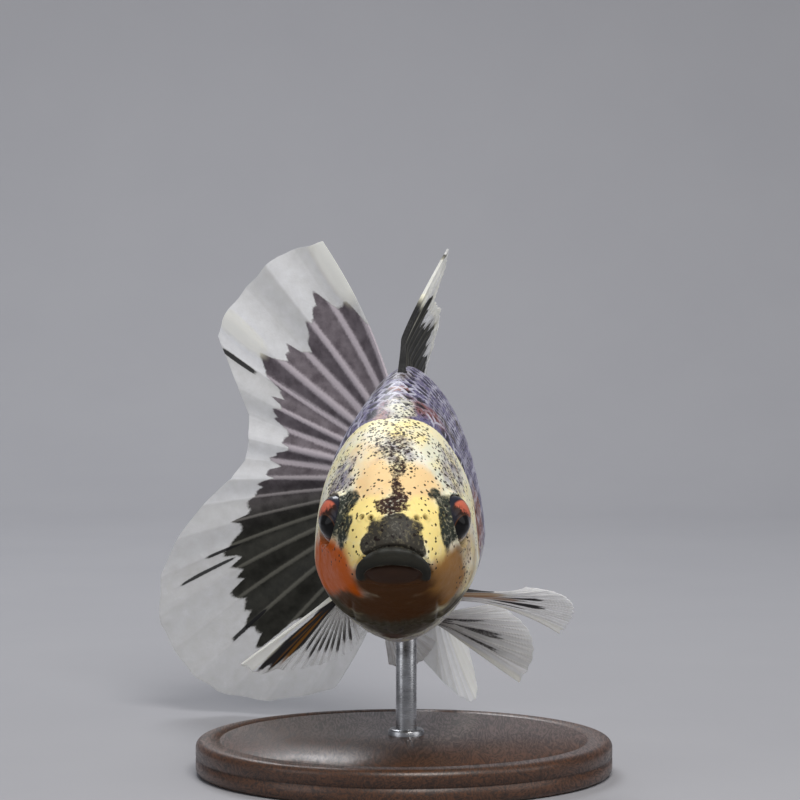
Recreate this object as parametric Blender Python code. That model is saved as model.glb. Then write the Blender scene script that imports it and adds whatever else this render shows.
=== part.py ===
"""A calico shubunkin goldfish, life size, as a still museum model on a plain stand.

The fish faces -Y, its left side is +X and its back is +Z. It swims with its nose a
little down and its tail swept to its own right. The origin is the middle of the
underside of the stand. Every length below is in millimetres and is turned into metres
where a mesh is made.

A place on the fish is given as (station, side, up): station runs along the backbone
from the mouth, side is towards the fish's left and up is towards its back.
"""

import math

import bmesh
import bpy
from mathutils import Matrix, Vector

MM = 0.001
GAP = 0.3                       # clear space between any two neighbouring pieces

# The whole fish
BODY_LENGTH = 90.0              # mouth to the root of the tail fin
MOUTH_PLACE = Vector((-1.5, -42.0, 34.5))
NOSE_DOWN = math.radians(2.5)
SPINE_STEP = 0.5
# How far the backbone turns to the fish's left, in degrees, station by station
HEADINGS = ((0.0, 1.0), (18.0, 1.0), (62.0, 9.5), (115.0, -80.0))

# Outline of the body: height of the back, depth of the belly and half of the width,
# each with the station where it is fullest
BACK = dict(peak=44.0, most=21.8, at_tail=6.4, rise=1.7, bluntness=0.62, fall=0.85)
BELLY = dict(peak=42.0, most=16.6, at_tail=6.2, rise=1.8, bluntness=0.72, fall=0.9)
FLANK = dict(peak=38.0, most=11.5, at_tail=1.7, rise=2.0, bluntness=0.385, fall=0.8)
# Height of the widest line, and how square the section is above and below it
WIDEST_UP = ((0.0, -0.3), (22.0, -3.0), (46.0, -2.0), (90.0, 0.0))
SQUARE_ABOVE = ((0.0, 2.4), (13.0, 2.3), (40.0, 1.55), (76.0, 2.0))
SQUARE_BELOW = ((0.0, 2.2), (12.0, 1.9), (24.0, 1.66), (42.0, 1.6), (76.0, 2.0))

RING_SIDES = 32
SHARP_EDGE = math.radians(40.0)
SNOUT_END = 0.8                 # the snout is flat here, behind the lips
HEAD_RINGS = 12
HEAD_CROWDING = 1.5             # how closely the rings of the head crowd to the snout
TRUNK_RINGS = 12
STALK_RINGS = 7
STALK_START = 66.0
GUIDE_RINGS = 40
# Rear edge of the head: at mid-height, and how it draws in towards the back and throat
NECK_AT_SIDE = 27.0
NECK_LEAN = 3.0
NECK_BOW = 9.0
NECK_CENTRE = 22.0
NECK_HALF_WIDTH = 10.0

# Gill covers, as a range of angle round the body (0 is the side, 90 the back)
GILL_FRONT = 14.5
GILL_FRONT_BOW = 2.5
GILL_LOW = math.radians(-60.0)
GILL_HIGH = math.radians(34.0)
GILL_PROUD = 0.35
GILL_THICK = 1.5
GILL_BED_HEIGHT = 1.4           # the bed is cut this far out, clear of the cheek
GILL_BED_REAR = 1.2             # and this far past the rear edge of the head
GILL_ACROSS = 9
GILL_AROUND = 12

# Lips: half of their width, the height of their corners, their rise and their thickness
UPPER_LIP = dict(half_width=3.7, corner_up=-1.6, rise=2.7, thick=1.1, spread=12.0)
LOWER_LIP = dict(half_width=2.6, corner_up=-2.2, rise=1.05, thick=0.8, spread=0.0)
LIP_STATION = 0.9
LIP_SWEEP = 1.8                 # how far back the corners of the mouth lie
LIP_THINNING = 0.45             # share of its thickness that a lip loses at its corners
LIP_ROUNDING = 0.35             # how far its rounded ends stand out, by its thickness
LIP_STEPS = 16
LIP_SIDES = 8

# Eyes
EYE_STATION = 11.5
EYE_SIDE = 7.5
EYE_UP = 4.0
EYE_RADIUS = 3.5
EYE_HALF_DEPTH = 2.5
EYE_FORWARD = math.radians(18.0)
EYE_SIDES = 20
EYE_ROWS = 10
NOSTRIL_STATION = 3.7
NOSTRIL_ANGLE = math.radians(54.0)
NOSTRIL_RADIUS = 0.55
NOSTRIL_SIDES = 10
NOSTRIL_ROWS = 6

# Every fin is a fan from a root, inside the body, to a margin. Each corner is
# (station, side, up); the margin bends towards its middle point.
FIN_ROOT_THICK = 1.5
FIN_EDGE_THICK = 0.6
DORSAL_FIN = dict(
    root=((38.0, 0.0, 19.4), (52.0, 0.0, 20.0), (66.0, 0.0, 13.8)),
    margin=((50.0, 5.9, 39.1), (53.0, 4.4, 24.5), (70.5, -1.3, 19.6)),
    curl=2.2, rays=12, rows=6)
ANAL_FIN = dict(
    root=((65.0, 0.0, -9.8), (69.0, 0.0, -8.6), (73.0, 0.0, -7.2)),
    margin=((72.0, -1.2, -25.2), (78.0, 11.6, -41.0), (81.0, 7.6, -24.5)),
    curl=1.6, rays=7, rows=7)
PECTORAL_FIN_RIGHT = dict(
    root=((24.0, -8.2, -7.8), (25.0, -7.6, -9.2), (26.5, -6.6, -10.2)),
    margin=((30.0, -22.2, -18.9), (33.5, -12.0, -26.0), (37.0, -4.6, -15.5)),
    curl=1.0, rays=9, rows=5)
PECTORAL_FIN_LEFT = dict(
    root=((24.0, 8.9, -7.2), (25.0, 8.4, -7.9), (26.5, 7.4, -8.9)),
    margin=((29.5, 17.9, -7.2), (33.5, 28.4, -9.3), (38.0, 22.5, -15.5)),
    curl=1.0, rays=9, rows=5)
PELVIC_FIN_RIGHT = dict(
    root=((42.0, -3.2, -14.2), (44.5, -3.0, -14.4), (47.0, -2.6, -14.2)),
    margin=((57.0, -4.5, -23.5), (62.5, -0.5, -26.0), (60.0, 2.2, -20.4)),
    curl=1.2, rays=7, rows=5)
PELVIC_FIN_LEFT = dict(
    root=((42.0, 3.6, -13.8), (44.5, 3.4, -14.2), (47.0, 2.8, -14.2)),
    margin=((48.0, 12.6, -12.7), (53.5, 21.2, -18.0), (54.5, 15.4, -25.4)),
    curl=1.1, rays=7, rows=5)

# Tail fin: reach from the middle of its root, in millimetres, by degrees above level
TAIL_REACH = ((-73.0, 35.5), (-50.0, 47.0), (-33.0, 47.7), (6.5, 26.5),
              (48.0, 41.5), (67.0, 40.0))
TAIL_FORK = 6.5
TAIL_ROOT_STATION = 87.0
TAIL_ROOT_HALF = 5.6
TAIL_BOW = 2.2                  # how far the outer rays bend back on their way
TAIL_RAYS = 10                  # in each lobe
TAIL_ROWS = 8
TAIL_PLEAT = 0.35
LOBE_GAP_DEGREES = 0.7

# Stand
BASE_RADIUS = 30.0
BASE_HEIGHT = 5.0
BASE_BEVEL = 0.8
BASE_SIDES = 48
ROD_RADIUS = 1.5
ROD_STATION = 45.0
ROD_SOCKET_DEPTH = 3.0
ROD_SOCKET_OVER = 1.0           # the socket is cut this far above the base
ROD_SIDES = 16


def ease_through(x, stops):
    """Value at x of a smooth line through the stops, level at each of them."""
    if x <= stops[0][0]:
        return stops[0][1]
    for (x0, v0), (x1, v1) in zip(stops, stops[1:]):
        if x <= x1:
            t = (x - x0) / (x1 - x0)
            return v0 + (v1 - v0) * t * t * (3.0 - 2.0 * t)
    return stops[-1][1]


def curve_through(ends_and_middle, t):
    """Point at t on a bow from the first point to the last, drawn to the middle one."""
    start, middle, end = (Vector(p) for p in ends_and_middle)
    return start * (1 - t) ** 2 + middle * (2 * t * (1 - t)) + end * t ** 2


# ---------------------------------------------------------------- backbone and body

def spine_heading(station):
    """Turn of the backbone to the fish's left at a station, in radians."""
    return math.radians(ease_through(station, HEADINGS))


def spine_direction(station):
    """Unit vector along the backbone, towards the tail."""
    turn = spine_heading(station)
    level = math.cos(NOSE_DOWN)
    return Vector((math.sin(turn) * level, math.cos(turn) * level, math.sin(NOSE_DOWN)))


def trace_spine():
    """Places along the backbone and on through the tail fin, one each SPINE_STEP."""
    places = [MOUTH_PLACE.copy()]
    steps = int(2.0 * BODY_LENGTH / SPINE_STEP)
    for step in range(steps):
        middle = (step + 0.5) * SPINE_STEP
        places.append(places[-1] + spine_direction(middle) * SPINE_STEP)
    return places


SPINE = trace_spine()


def on_fish(station, side, up):
    """World place, in millimetres, of a place given on the fish."""
    index = station / SPINE_STEP
    low = int(index)
    here = SPINE[low].lerp(SPINE[low + 1], index - low)
    along = spine_direction(station)
    left = Vector((along.y, -along.x, 0.0)).normalized()
    back = left.cross(along)
    return here + left * side + back * up


def swell(station, peak, most, at_tail, rise, bluntness, fall):
    """One side of the body's outline: a blunt rise, then a long fall to the tail."""
    if station <= peak:
        return most * (1.0 - (1.0 - station / peak) ** rise) ** bluntness
    run = min(1.0, (station - peak) / (BODY_LENGTH - peak))
    ease = 0.5 + 0.5 * math.cos(math.pi * run)
    return at_tail + (most - at_tail) * ease ** fall


def skin_point(station, angle, out=0.0):
    """Place on the skin at an angle round the body, moved outwards by out."""
    widest = ease_through(station, WIDEST_UP)
    half_width = swell(station, **FLANK)
    if math.sin(angle) >= 0.0:
        height = swell(station, **BACK) - widest
        square = ease_through(station, SQUARE_ABOVE)
    else:
        height = swell(station, **BELLY) + widest
        square = ease_through(station, SQUARE_BELOW)
    across = math.copysign(abs(math.cos(angle)) ** (2.0 / square), math.cos(angle))
    upright = math.copysign(abs(math.sin(angle)) ** (2.0 / square), math.sin(angle))
    normal = Vector((
        math.copysign(abs(across) ** (square - 1.0), across) / half_width,
        math.copysign(abs(upright) ** (square - 1.0), upright) / height)).normalized()
    side = half_width * across + out * normal.x
    up = widest + height * upright + out * normal.y
    return on_fish(station, side, up)


def neck_station(angle):
    """Station of the rear edge of the head at an angle round the body."""
    lift = math.sin(angle)
    return NECK_AT_SIDE + NECK_LEAN * lift - NECK_BOW * lift * lift


# ---------------------------------------------------------------- making the meshes

def new_object(name, verts, faces, material=None):
    """An object made from places in millimetres, with its faces turned outwards."""
    mesh = bpy.data.meshes.new(name)
    mesh.from_pydata([tuple(v * MM) for v in verts], [], faces)
    shape = bmesh.new()
    shape.from_mesh(mesh)
    bmesh.ops.recalc_face_normals(shape, faces=shape.faces)
    shape.to_mesh(mesh)
    shape.free()
    made = bpy.data.objects.new(name, mesh)
    bpy.context.scene.collection.objects.link(made)
    if material:
        mesh.materials.append(material)
    mesh.shade_smooth()
    mesh.set_sharp_from_angle(angle=SHARP_EDGE)
    return made


def loft(rings, front, rear):
    """Vertices and faces of a closed solid through rings, capped to two end points."""
    sides = len(rings[0])
    verts = [point for ring in rings for point in ring] + [front, rear]
    front_index = len(verts) - 2
    rear_index = len(verts) - 1
    faces = []
    for row in range(len(rings) - 1):
        for k in range(sides):
            a = row * sides + k
            b = row * sides + (k + 1) % sides
            faces.append((a, b, b + sides, a + sides))
    last = (len(rings) - 1) * sides
    for k in range(sides):
        after = (k + 1) % sides
        faces.append((front_index, after, k))
        faces.append((rear_index, last + k, last + after))
    return verts, faces


def slab(upper, lower):
    """Vertices and faces of a closed sheet between two matching grids of points."""
    rows = len(upper)
    columns = len(upper[0])
    verts = [p for row in upper for p in row] + [p for row in lower for p in row]
    under = rows * columns
    faces = []
    for i in range(rows - 1):
        for j in range(columns - 1):
            a = i * columns + j
            quad = (a, a + 1, a + columns + 1, a + columns)
            faces.append(quad)
            faces.append(tuple(under + k for k in reversed(quad)))
    rim = [j for j in range(columns)]
    rim += [i * columns + columns - 1 for i in range(1, rows)]
    rim += [(rows - 1) * columns + j for j in range(columns - 2, -1, -1)]
    rim += [i * columns for i in range(rows - 2, 0, -1)]
    for a, b in zip(rim, rim[1:] + rim[:1]):
        faces.append((b, a, under + a, under + b))
    return verts, faces


def guide(name, verts, faces):
    """A hidden solid that only cuts others."""
    made = new_object(name, verts, faces)
    made.hide_render = True
    made.display_type = 'WIRE'
    return made


def cut(target, cutter):
    """Take the cutter's shape out of the target."""
    boolean = target.modifiers.new("clear_" + cutter.name, 'BOOLEAN')
    boolean.operation = 'DIFFERENCE'
    boolean.solver = 'EXACT'
    boolean.object = cutter


def material(name, colour, roughness, metallic=0.0):
    """A Principled material of one colour."""
    made = bpy.data.materials.new(name)
    made.use_nodes = True
    shader = made.node_tree.nodes["Principled BSDF"]
    shader.inputs["Base Color"].default_value = (*colour, 1.0)
    shader.inputs["Roughness"].default_value = roughness
    shader.inputs["Metallic"].default_value = metallic
    made.diffuse_color = (*colour, 1.0)
    return made


# ---------------------------------------------------------------- flesh

def body_rings(start, end, count, out=0.0, crowd=1.0):
    """Rings round the body between two stations, which may change with the angle."""
    rings = []
    for row in range(count + 1):
        run = (row / count) ** crowd
        ring = []
        for k in range(RING_SIDES):
            angle = 2.0 * math.pi * k / RING_SIDES
            station = start(angle) + (end(angle) - start(angle)) * run
            ring.append(skin_point(station, angle, out))
        rings.append(ring)
    return rings


def make_head(skin):
    """Head, from the flat of the snout to the rear edge of the gill covers."""
    rings = body_rings(lambda a: SNOUT_END, neck_station, HEAD_RINGS, crowd=HEAD_CROWDING)
    front = on_fish(SNOUT_END, 0.0, 0.0)
    return new_object("head", *loft(rings, front, on_fish(NECK_CENTRE, 0.0, 0.0)), skin)


def make_trunk(skin):
    """Trunk, from just behind the head to the start of the tail stalk."""
    rings = body_rings(lambda a: neck_station(a) + GAP, lambda a: STALK_START, TRUNK_RINGS)
    front = on_fish(NECK_CENTRE + GAP, 0.0, 0.0)
    return new_object("trunk", *loft(rings, front, on_fish(STALK_START, 0.0, 0.0)), skin)


def make_tail_stalk(skin):
    """Tail stalk, from behind the dorsal and anal fins to the root of the tail fin."""
    start = STALK_START + GAP
    rings = body_rings(lambda a: start, lambda a: BODY_LENGTH, STALK_RINGS)
    front = on_fish(start, 0.0, 0.0)
    return new_object("tail_stalk", *loft(rings, front, on_fish(BODY_LENGTH, 0.0, 0.0)), skin)


def make_body_guide():
    """The whole body grown by the gap, which trims the root of every fin."""
    rings = body_rings(lambda a: SNOUT_END, lambda a: BODY_LENGTH, GUIDE_RINGS, out=GAP)
    front = on_fish(SNOUT_END - GAP, 0.0, 0.0)
    rear = on_fish(BODY_LENGTH + GAP, 0.0, 0.0)
    return guide("body_guide", *loft(rings, front, rear))


def gill_patch(side, inner, outer, grow=0.0, past_rear=0.0):
    """Curved plate over the cheek between two depths, grown at its edges."""
    widen = grow / FLANK["most"]
    low = GILL_LOW - widen
    high = GILL_HIGH + widen
    sheets = []
    for out in (outer, inner):
        rows = []
        for i in range(GILL_AROUND + 1):
            turn = low + (high - low) * i / GILL_AROUND
            reach = 2.0 * i / GILL_AROUND - 1.0
            front = GILL_FRONT + GILL_FRONT_BOW * reach * reach - grow
            lean = max(0.0, neck_station(turn) - NECK_CENTRE) / NECK_HALF_WIDTH
            rear = neck_station(turn) + lean * min(out, 0.0) + past_rear
            angle = turn if side > 0 else math.pi - turn
            rows.append([skin_point(front + (rear - front) * j / GILL_ACROSS, angle, out)
                         for j in range(GILL_ACROSS + 1)])
        sheets.append(rows)
    return slab(*sheets)


def make_gill_cover(label, side, head, skin):
    """Gill cover, a plate let into the side of the head and standing a little proud."""
    bed = gill_patch(side, -GILL_THICK - GAP, GILL_BED_HEIGHT, GAP, GILL_BED_REAR)
    cut(head, guide("gill_bed_" + label, *bed))
    return new_object("gill_cover_" + label, *gill_patch(side, -GILL_THICK, GILL_PROUD), skin)


def lip_tube(half_width, corner_up, rise, thick, spread, out=0.0):
    """A bent tube that follows one lip from corner to corner, with rounded ends."""
    first = math.radians(-spread)
    last = math.pi - first
    rings = []
    for step in range(LIP_STEPS + 1):
        run = step / LIP_STEPS
        turn = first + (last - first) * run
        end = abs(2.0 * run - 1.0)
        radius = thick * (1.0 - LIP_THINNING * end ** 4) + out
        side = half_width * math.cos(turn)
        middle = on_fish(LIP_STATION + LIP_SWEEP * (side / UPPER_LIP["half_width"]) ** 2,
                         side, corner_up + rise * math.sin(turn))
        outwards = Vector((math.cos(turn), 0.0, math.sin(turn)))
        rings.append([middle
                      + outwards * (radius * math.cos(2.0 * math.pi * k / LIP_SIDES))
                      + Vector((0.0, 1.0, 0.0)) * (radius * math.sin(2.0 * math.pi * k / LIP_SIDES))
                      for k in range(LIP_SIDES)])
    centres = [sum(ring, Vector()) / LIP_SIDES for ring in (rings[0], rings[-1])]
    beyond = Vector((0.0, 0.0, -LIP_ROUNDING * thick - out))
    return loft(rings, centres[0] + beyond, centres[1] + beyond)


def make_lip(name, shape, head, flesh):
    """One lip, let into the end of the snout."""
    cut(head, guide(name + "_bed", *lip_tube(**shape, out=GAP)))
    return new_object(name, *lip_tube(**shape), flesh)


def ball(radii, sides, rows):
    """Vertices and faces of an ellipsoid about its own middle."""
    shape = bmesh.new()
    bmesh.ops.create_uvsphere(shape, u_segments=sides, v_segments=rows, radius=1.0)
    bmesh.ops.scale(shape, vec=radii, verts=shape.verts)
    verts = [v.co.copy() for v in shape.verts]
    faces = [tuple(v.index for v in f.verts) for f in shape.faces]
    shape.free()
    return verts, faces


def eye_shape(side, out):
    """Ellipsoid of one eye in its place, turned a little forward."""
    radii = (EYE_RADIUS + out, EYE_RADIUS + out, EYE_HALF_DEPTH + out)
    verts, faces = ball(radii, EYE_SIDES, EYE_ROWS)
    look = Matrix.Rotation(side * (math.pi / 2 - EYE_FORWARD), 3, 'Z')
    look = look @ Matrix.Rotation(math.pi / 2, 3, 'X')
    place = on_fish(EYE_STATION, side * EYE_SIDE, EYE_UP)
    return [place + look @ v for v in verts], faces


def make_eye(label, side, head, finish):
    """One eye, seated in a socket of the head."""
    cut(head, guide("socket_" + label, *eye_shape(side, GAP)))
    return new_object("eye_" + label, *eye_shape(side, 0.0), finish)


def cut_nostril(label, side, head):
    """A shallow pit in the snout in front of the eye."""
    angle = NOSTRIL_ANGLE if side > 0 else math.pi - NOSTRIL_ANGLE
    verts, faces = ball((NOSTRIL_RADIUS,) * 3, NOSTRIL_SIDES, NOSTRIL_ROWS)
    place = skin_point(NOSTRIL_STATION, angle)
    cut(head, guide("nostril_" + label, [place + v for v in verts], faces))


# ---------------------------------------------------------------- fins

def thicken(grid):
    """Closed fin from a grid of points: grid[ray][row], thin towards its margin."""
    rays = len(grid)
    rows = len(grid[0])
    sheets = ([], [])
    for i in range(rays):
        upper = []
        lower = []
        for j in range(rows):
            along = grid[i][min(j + 1, rows - 1)] - grid[i][max(j - 1, 0)]
            across = grid[min(i + 1, rays - 1)][j] - grid[max(i - 1, 0)][j]
            run = j / (rows - 1)
            half = 0.5 * (FIN_ROOT_THICK + (FIN_EDGE_THICK - FIN_ROOT_THICK) * run)
            lift = along.cross(across).normalized() * half
            upper.append(grid[i][j] + lift)
            lower.append(grid[i][j] - lift)
        sheets[0].append(upper)
        sheets[1].append(lower)
    return slab(*sheets)


def fan(root, margin, curl, rays, rows):
    """Grid of a fin from its root to its margin; curl leaves the lean to the tips."""
    grid = []
    for i in range(rays + 1):
        across = i / rays
        foot = curve_through(root, across)
        tip = curve_through(margin, across)
        line = []
        for j in range(rows + 1):
            run = j / rows
            station, side, up = foot.lerp(tip, run)
            side = foot.y + (tip.y - foot.y) * run ** curl
            line.append(on_fish(station, side, up))
        grid.append(line)
    return grid


def tail_grid(lowest, highest):
    """Grid of one lobe of the tail fin between two angles above level."""
    full = TAIL_REACH[-1][0] - TAIL_REACH[0][0]
    grid = []
    for i in range(TAIL_RAYS + 1):
        degrees = lowest + (highest - lowest) * i / TAIL_RAYS
        angle = math.radians(degrees)
        share = 2.0 * (degrees - TAIL_REACH[0][0]) / full - 1.0
        reach = ease_through(degrees, TAIL_REACH)
        foot = Vector((0.0, share * TAIL_ROOT_HALF))
        tip = Vector((math.cos(angle), math.sin(angle))) * reach
        tip.x += BODY_LENGTH - TAIL_ROOT_STATION
        pleat = TAIL_PLEAT if i % 2 else -TAIL_PLEAT
        line = []
        for j in range(TAIL_ROWS + 1):
            run = j / TAIL_ROWS
            back, up = foot.lerp(tip, run)
            up += math.sin(angle) * TAIL_BOW * math.sin(math.pi * run)
            line.append(on_fish(TAIL_ROOT_STATION + back, pleat * run, up))
        grid.append(line)
    return grid


def make_fins(body_guide, membrane, dark_membrane):
    """All the fins, each trimmed to stand just clear of the body."""
    grids = {
        "dorsal_fin": fan(**DORSAL_FIN),
        "anal_fin": fan(**ANAL_FIN),
        "pectoral_fin_left": fan(**PECTORAL_FIN_LEFT),
        "pectoral_fin_right": fan(**PECTORAL_FIN_RIGHT),
        "pelvic_fin_left": fan(**PELVIC_FIN_LEFT),
        "pelvic_fin_right": fan(**PELVIC_FIN_RIGHT),
        "tail_fin_upper": tail_grid(TAIL_FORK + LOBE_GAP_DEGREES, TAIL_REACH[-1][0]),
        "tail_fin_lower": tail_grid(TAIL_REACH[0][0], TAIL_FORK - LOBE_GAP_DEGREES),
    }
    for name, grid in grids.items():
        finish = dark_membrane if name.startswith("tail") else membrane
        cut(new_object(name, *thicken(grid), finish), body_guide)


# ---------------------------------------------------------------- stand

def turned(profile, sides, place):
    """Closed solid turned about a vertical axis from (radius, height) pairs."""
    rings = []
    for radius, height in profile:
        rings.append([place + Vector((radius * math.cos(2.0 * math.pi * k / sides),
                                      radius * math.sin(2.0 * math.pi * k / sides), height))
                      for k in range(sides)])
    ends = [place + Vector((0.0, 0.0, profile[i][1])) for i in (0, -1)]
    return loft(rings, *ends)


def make_stand(body_guide, wood, steel):
    """Flat round base with a bevelled edge, and one rod up to the belly."""
    profile = ((BASE_RADIUS - BASE_BEVEL, 0.0), (BASE_RADIUS, BASE_BEVEL),
               (BASE_RADIUS, BASE_HEIGHT - BASE_BEVEL),
               (BASE_RADIUS - BASE_BEVEL, BASE_HEIGHT))
    base = new_object("stand_base", *turned(profile, BASE_SIDES, Vector()), wood)
    belly = on_fish(ROD_STATION, 0.0, 0.0)
    foot = Vector((belly.x, belly.y, 0.0))
    low = BASE_HEIGHT - ROD_SOCKET_DEPTH
    socket = ((ROD_RADIUS + GAP, low - GAP), (ROD_RADIUS + GAP, BASE_HEIGHT + ROD_SOCKET_OVER))
    cut(base, guide("rod_socket", *turned(socket, ROD_SIDES, foot)))
    rod = ((ROD_RADIUS, low), (ROD_RADIUS, belly.z))
    cut(new_object("stand_rod", *turned(rod, ROD_SIDES, foot), steel), body_guide)


def main():
    """Clear the scene and build the fish and its stand."""
    for old in list(bpy.data.objects):
        bpy.data.objects.remove(old, do_unlink=True)
    gold = material("head_gold", (0.80, 0.49, 0.17), 0.35)
    calico = material("calico_scales", (0.36, 0.35, 0.42), 0.35)
    orange = material("gill_orange", (0.62, 0.22, 0.05), 0.32)
    slate = material("lip_slate", (0.07, 0.065, 0.06), 0.45)
    glass = material("eye_black", (0.02, 0.018, 0.016), 0.08)
    membrane = material("fin_white", (0.72, 0.72, 0.70), 0.4)
    dark_membrane = material("fin_black", (0.10, 0.09, 0.11), 0.45)
    wood = material("stand_dark_wood", (0.035, 0.022, 0.016), 0.4)
    steel = material("stand_steel", (0.55, 0.55, 0.56), 0.3, metallic=1.0)

    head = make_head(gold)
    make_trunk(calico)
    make_tail_stalk(calico)
    make_lip("upper_lip", UPPER_LIP, head, slate)
    make_lip("lower_lip", LOWER_LIP, head, slate)
    for label, side in (("left", 1), ("right", -1)):
        make_gill_cover(label, side, head, orange)
        make_eye(label, side, head, glass)
        cut_nostril(label, side, head)
    body_guide = make_body_guide()
    make_fins(body_guide, membrane, dark_membrane)
    make_stand(body_guide, wood, steel)


if __name__ == "__main__":
    main()
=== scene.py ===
"""Fine surface, finishes and setting of the shubunkin goldfish display model.

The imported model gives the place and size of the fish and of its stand. One skin with
lips, orbits, nostrils and gill covers takes the place of the flesh. The trunk carries
a coat of scales, every fin is a thin webbed fan of branching rays, and each eye has
its iris and lens. The fish faces -Y, its left side is +X and its back is +Z.

A place on the fish is (station, side, up) in millimetres: station runs back along the
backbone from the mouth, side is towards the fish's left and up is towards its back.
"""

import logging
import math
from dataclasses import dataclass, field
from enum import Enum
from functools import reduce

import bpy
import numpy as np
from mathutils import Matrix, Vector


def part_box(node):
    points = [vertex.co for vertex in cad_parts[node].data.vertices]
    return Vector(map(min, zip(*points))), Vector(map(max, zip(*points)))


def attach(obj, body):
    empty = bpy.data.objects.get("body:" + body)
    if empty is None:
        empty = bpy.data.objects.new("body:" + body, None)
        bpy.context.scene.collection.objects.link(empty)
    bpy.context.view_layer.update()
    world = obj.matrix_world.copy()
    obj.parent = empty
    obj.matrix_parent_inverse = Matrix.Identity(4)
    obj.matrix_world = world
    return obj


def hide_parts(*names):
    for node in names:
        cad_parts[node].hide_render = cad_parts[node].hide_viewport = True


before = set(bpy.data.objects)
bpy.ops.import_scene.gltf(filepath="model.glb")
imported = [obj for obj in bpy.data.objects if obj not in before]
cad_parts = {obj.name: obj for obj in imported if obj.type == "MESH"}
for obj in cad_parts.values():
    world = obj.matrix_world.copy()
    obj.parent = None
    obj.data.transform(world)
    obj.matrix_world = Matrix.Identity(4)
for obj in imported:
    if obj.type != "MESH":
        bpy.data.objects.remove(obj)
log = logging.getLogger("goldfish")

MM = 0.001
Array = np.ndarray
Stops = tuple[tuple[float, float], ...]
Triple = tuple[float, float, float]
Colour = tuple[float, float, float, float]
Socket = bpy.types.NodeSocket
SHARP_EDGE = math.radians(55.0)
FAR_AWAY = 99.0


# --- small sums

def ease_through(x: Array, stops: Stops) -> Array:
    """Smooth line through the stops, level at each of them.

    Args:
        x: Where to read the line.
        stops: Pairs of place and value, in order.

    Returns:
        The value at each x.
    """
    x = np.asarray(x, float)
    value = np.full(x.shape, stops[0][1])
    for (x0, v0), (x1, v1) in zip(stops, stops[1:]):
        t = np.clip((x - x0) / (x1 - x0), 0.0, 1.0)
        value = value + (v1 - v0) * t * t * (3.0 - 2.0 * t)
    return value


def rise(low: float, high: float, x: Array) -> Array:
    """Smooth step from 0 at low to 1 at high."""
    t = np.clip((np.asarray(x, float) - low) / (high - low), 0.0, 1.0)
    return t * t * (3.0 - 2.0 * t)


def hump(distance: Array, reach: float) -> Array:
    """Bell curve that is 1 at no distance and small beyond its reach."""
    return np.exp(-(distance / reach) ** 2)


def unit(vectors: Array) -> Array:
    """The same directions with length 1."""
    return vectors / np.maximum(np.linalg.norm(vectors, axis=-1, keepdims=True), 1e-12)


def wobble(place: Array, size: float, seed: int, waves: int = 8) -> Array:
    """Slow, uneven swell through space, the same on every run.

    Args:
        place: Points, with their three numbers last.
        size: Rough distance from crest to crest.
        seed: Which swell.
        waves: How many plain waves are added up.

    Returns:
        A number between about -1 and 1 for each point.
    """
    luck = np.random.default_rng(seed)
    total = np.zeros(place.shape[:-1])
    for _ in range(waves):
        way = unit(luck.normal(size=3))
        pace = 2.0 * math.pi / size * luck.uniform(0.6, 1.5)
        total += np.sin(place @ way * pace + luck.uniform(0.0, 2.0 * math.pi))
    return total / (0.4 * waves)


def paint(red: float, green: float, blue: float) -> Colour:
    """Colour for a shader from a paint-chart colour.

    Args:
        red: Share of red, 0 to 255.
        green: Share of green, 0 to 255.
        blue: Share of blue, 0 to 255.

    Returns:
        The same colour in even steps of light, 0 to 1, and opaque.
    """
    chart = np.array((red, green, blue)) / 255.0
    linear = np.where(chart < 0.04045, chart / 12.92, ((chart + 0.055) / 1.055) ** 2.4)
    return (*map(float, linear), 1.0)


@dataclass(frozen=True)
class Ridge:
    """Rounded ridge along a line, or a groove where its height is below 0."""

    height: float
    at: float
    wide: float

    def on(self, distance: Array) -> Array:
        """Its height at each distance from the line."""
        return self.height * hump(distance - self.at, self.wide)


# --- shape of the fish

BODY_LENGTH = 90.0


@dataclass
class Backbone:
    """Line from the mouth through the body and on through the tail fin."""

    nose: Array
    nose_down: float = math.radians(2.5)
    step: float = 0.5
    reach: float = 180.0
    headings: Stops = ((0.0, 1.0), (18.0, 1.0), (62.0, 9.5), (115.0, -80.0))

    def __post_init__(self) -> None:
        """Trace the line once."""
        middles = (np.arange(int(self.reach / self.step)) + 0.5) * self.step
        steps = np.cumsum(self.along(middles) * self.step, axis=0)
        self.points = self.nose + np.vstack([np.zeros(3), steps])

    def along(self, station: Array) -> Array:
        """Direction of the line towards the tail.

        Args:
            station: Distance back from the mouth.

        Returns:
            One unit vector for each station.
        """
        turn = np.radians(ease_through(station, self.headings))
        level = math.cos(self.nose_down)
        return np.stack([np.sin(turn) * level, np.cos(turn) * level,
                         np.full(turn.shape, math.sin(self.nose_down))], -1)

    def place(self, station: Array, side: Array, up: Array) -> Array:
        """World places, in millimetres, of places given on the fish.

        Args:
            station: Distance back from the mouth.
            side: Distance to the fish's left.
            up: Distance towards its back.

        Returns:
            One point for each place.
        """
        station, side, up = np.broadcast_arrays(*map(np.float64, (station, side, up)))
        along = self.along(station)
        left = unit(np.stack([along[..., 1], -along[..., 0], np.zeros(station.shape)], -1))
        back = np.cross(left, along)
        stops = np.arange(len(self.points)) * self.step
        middle = np.stack([np.interp(station, stops, self.points[:, k]) for k in range(3)], -1)
        return middle + left * side[..., None] + back * up[..., None]


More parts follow.
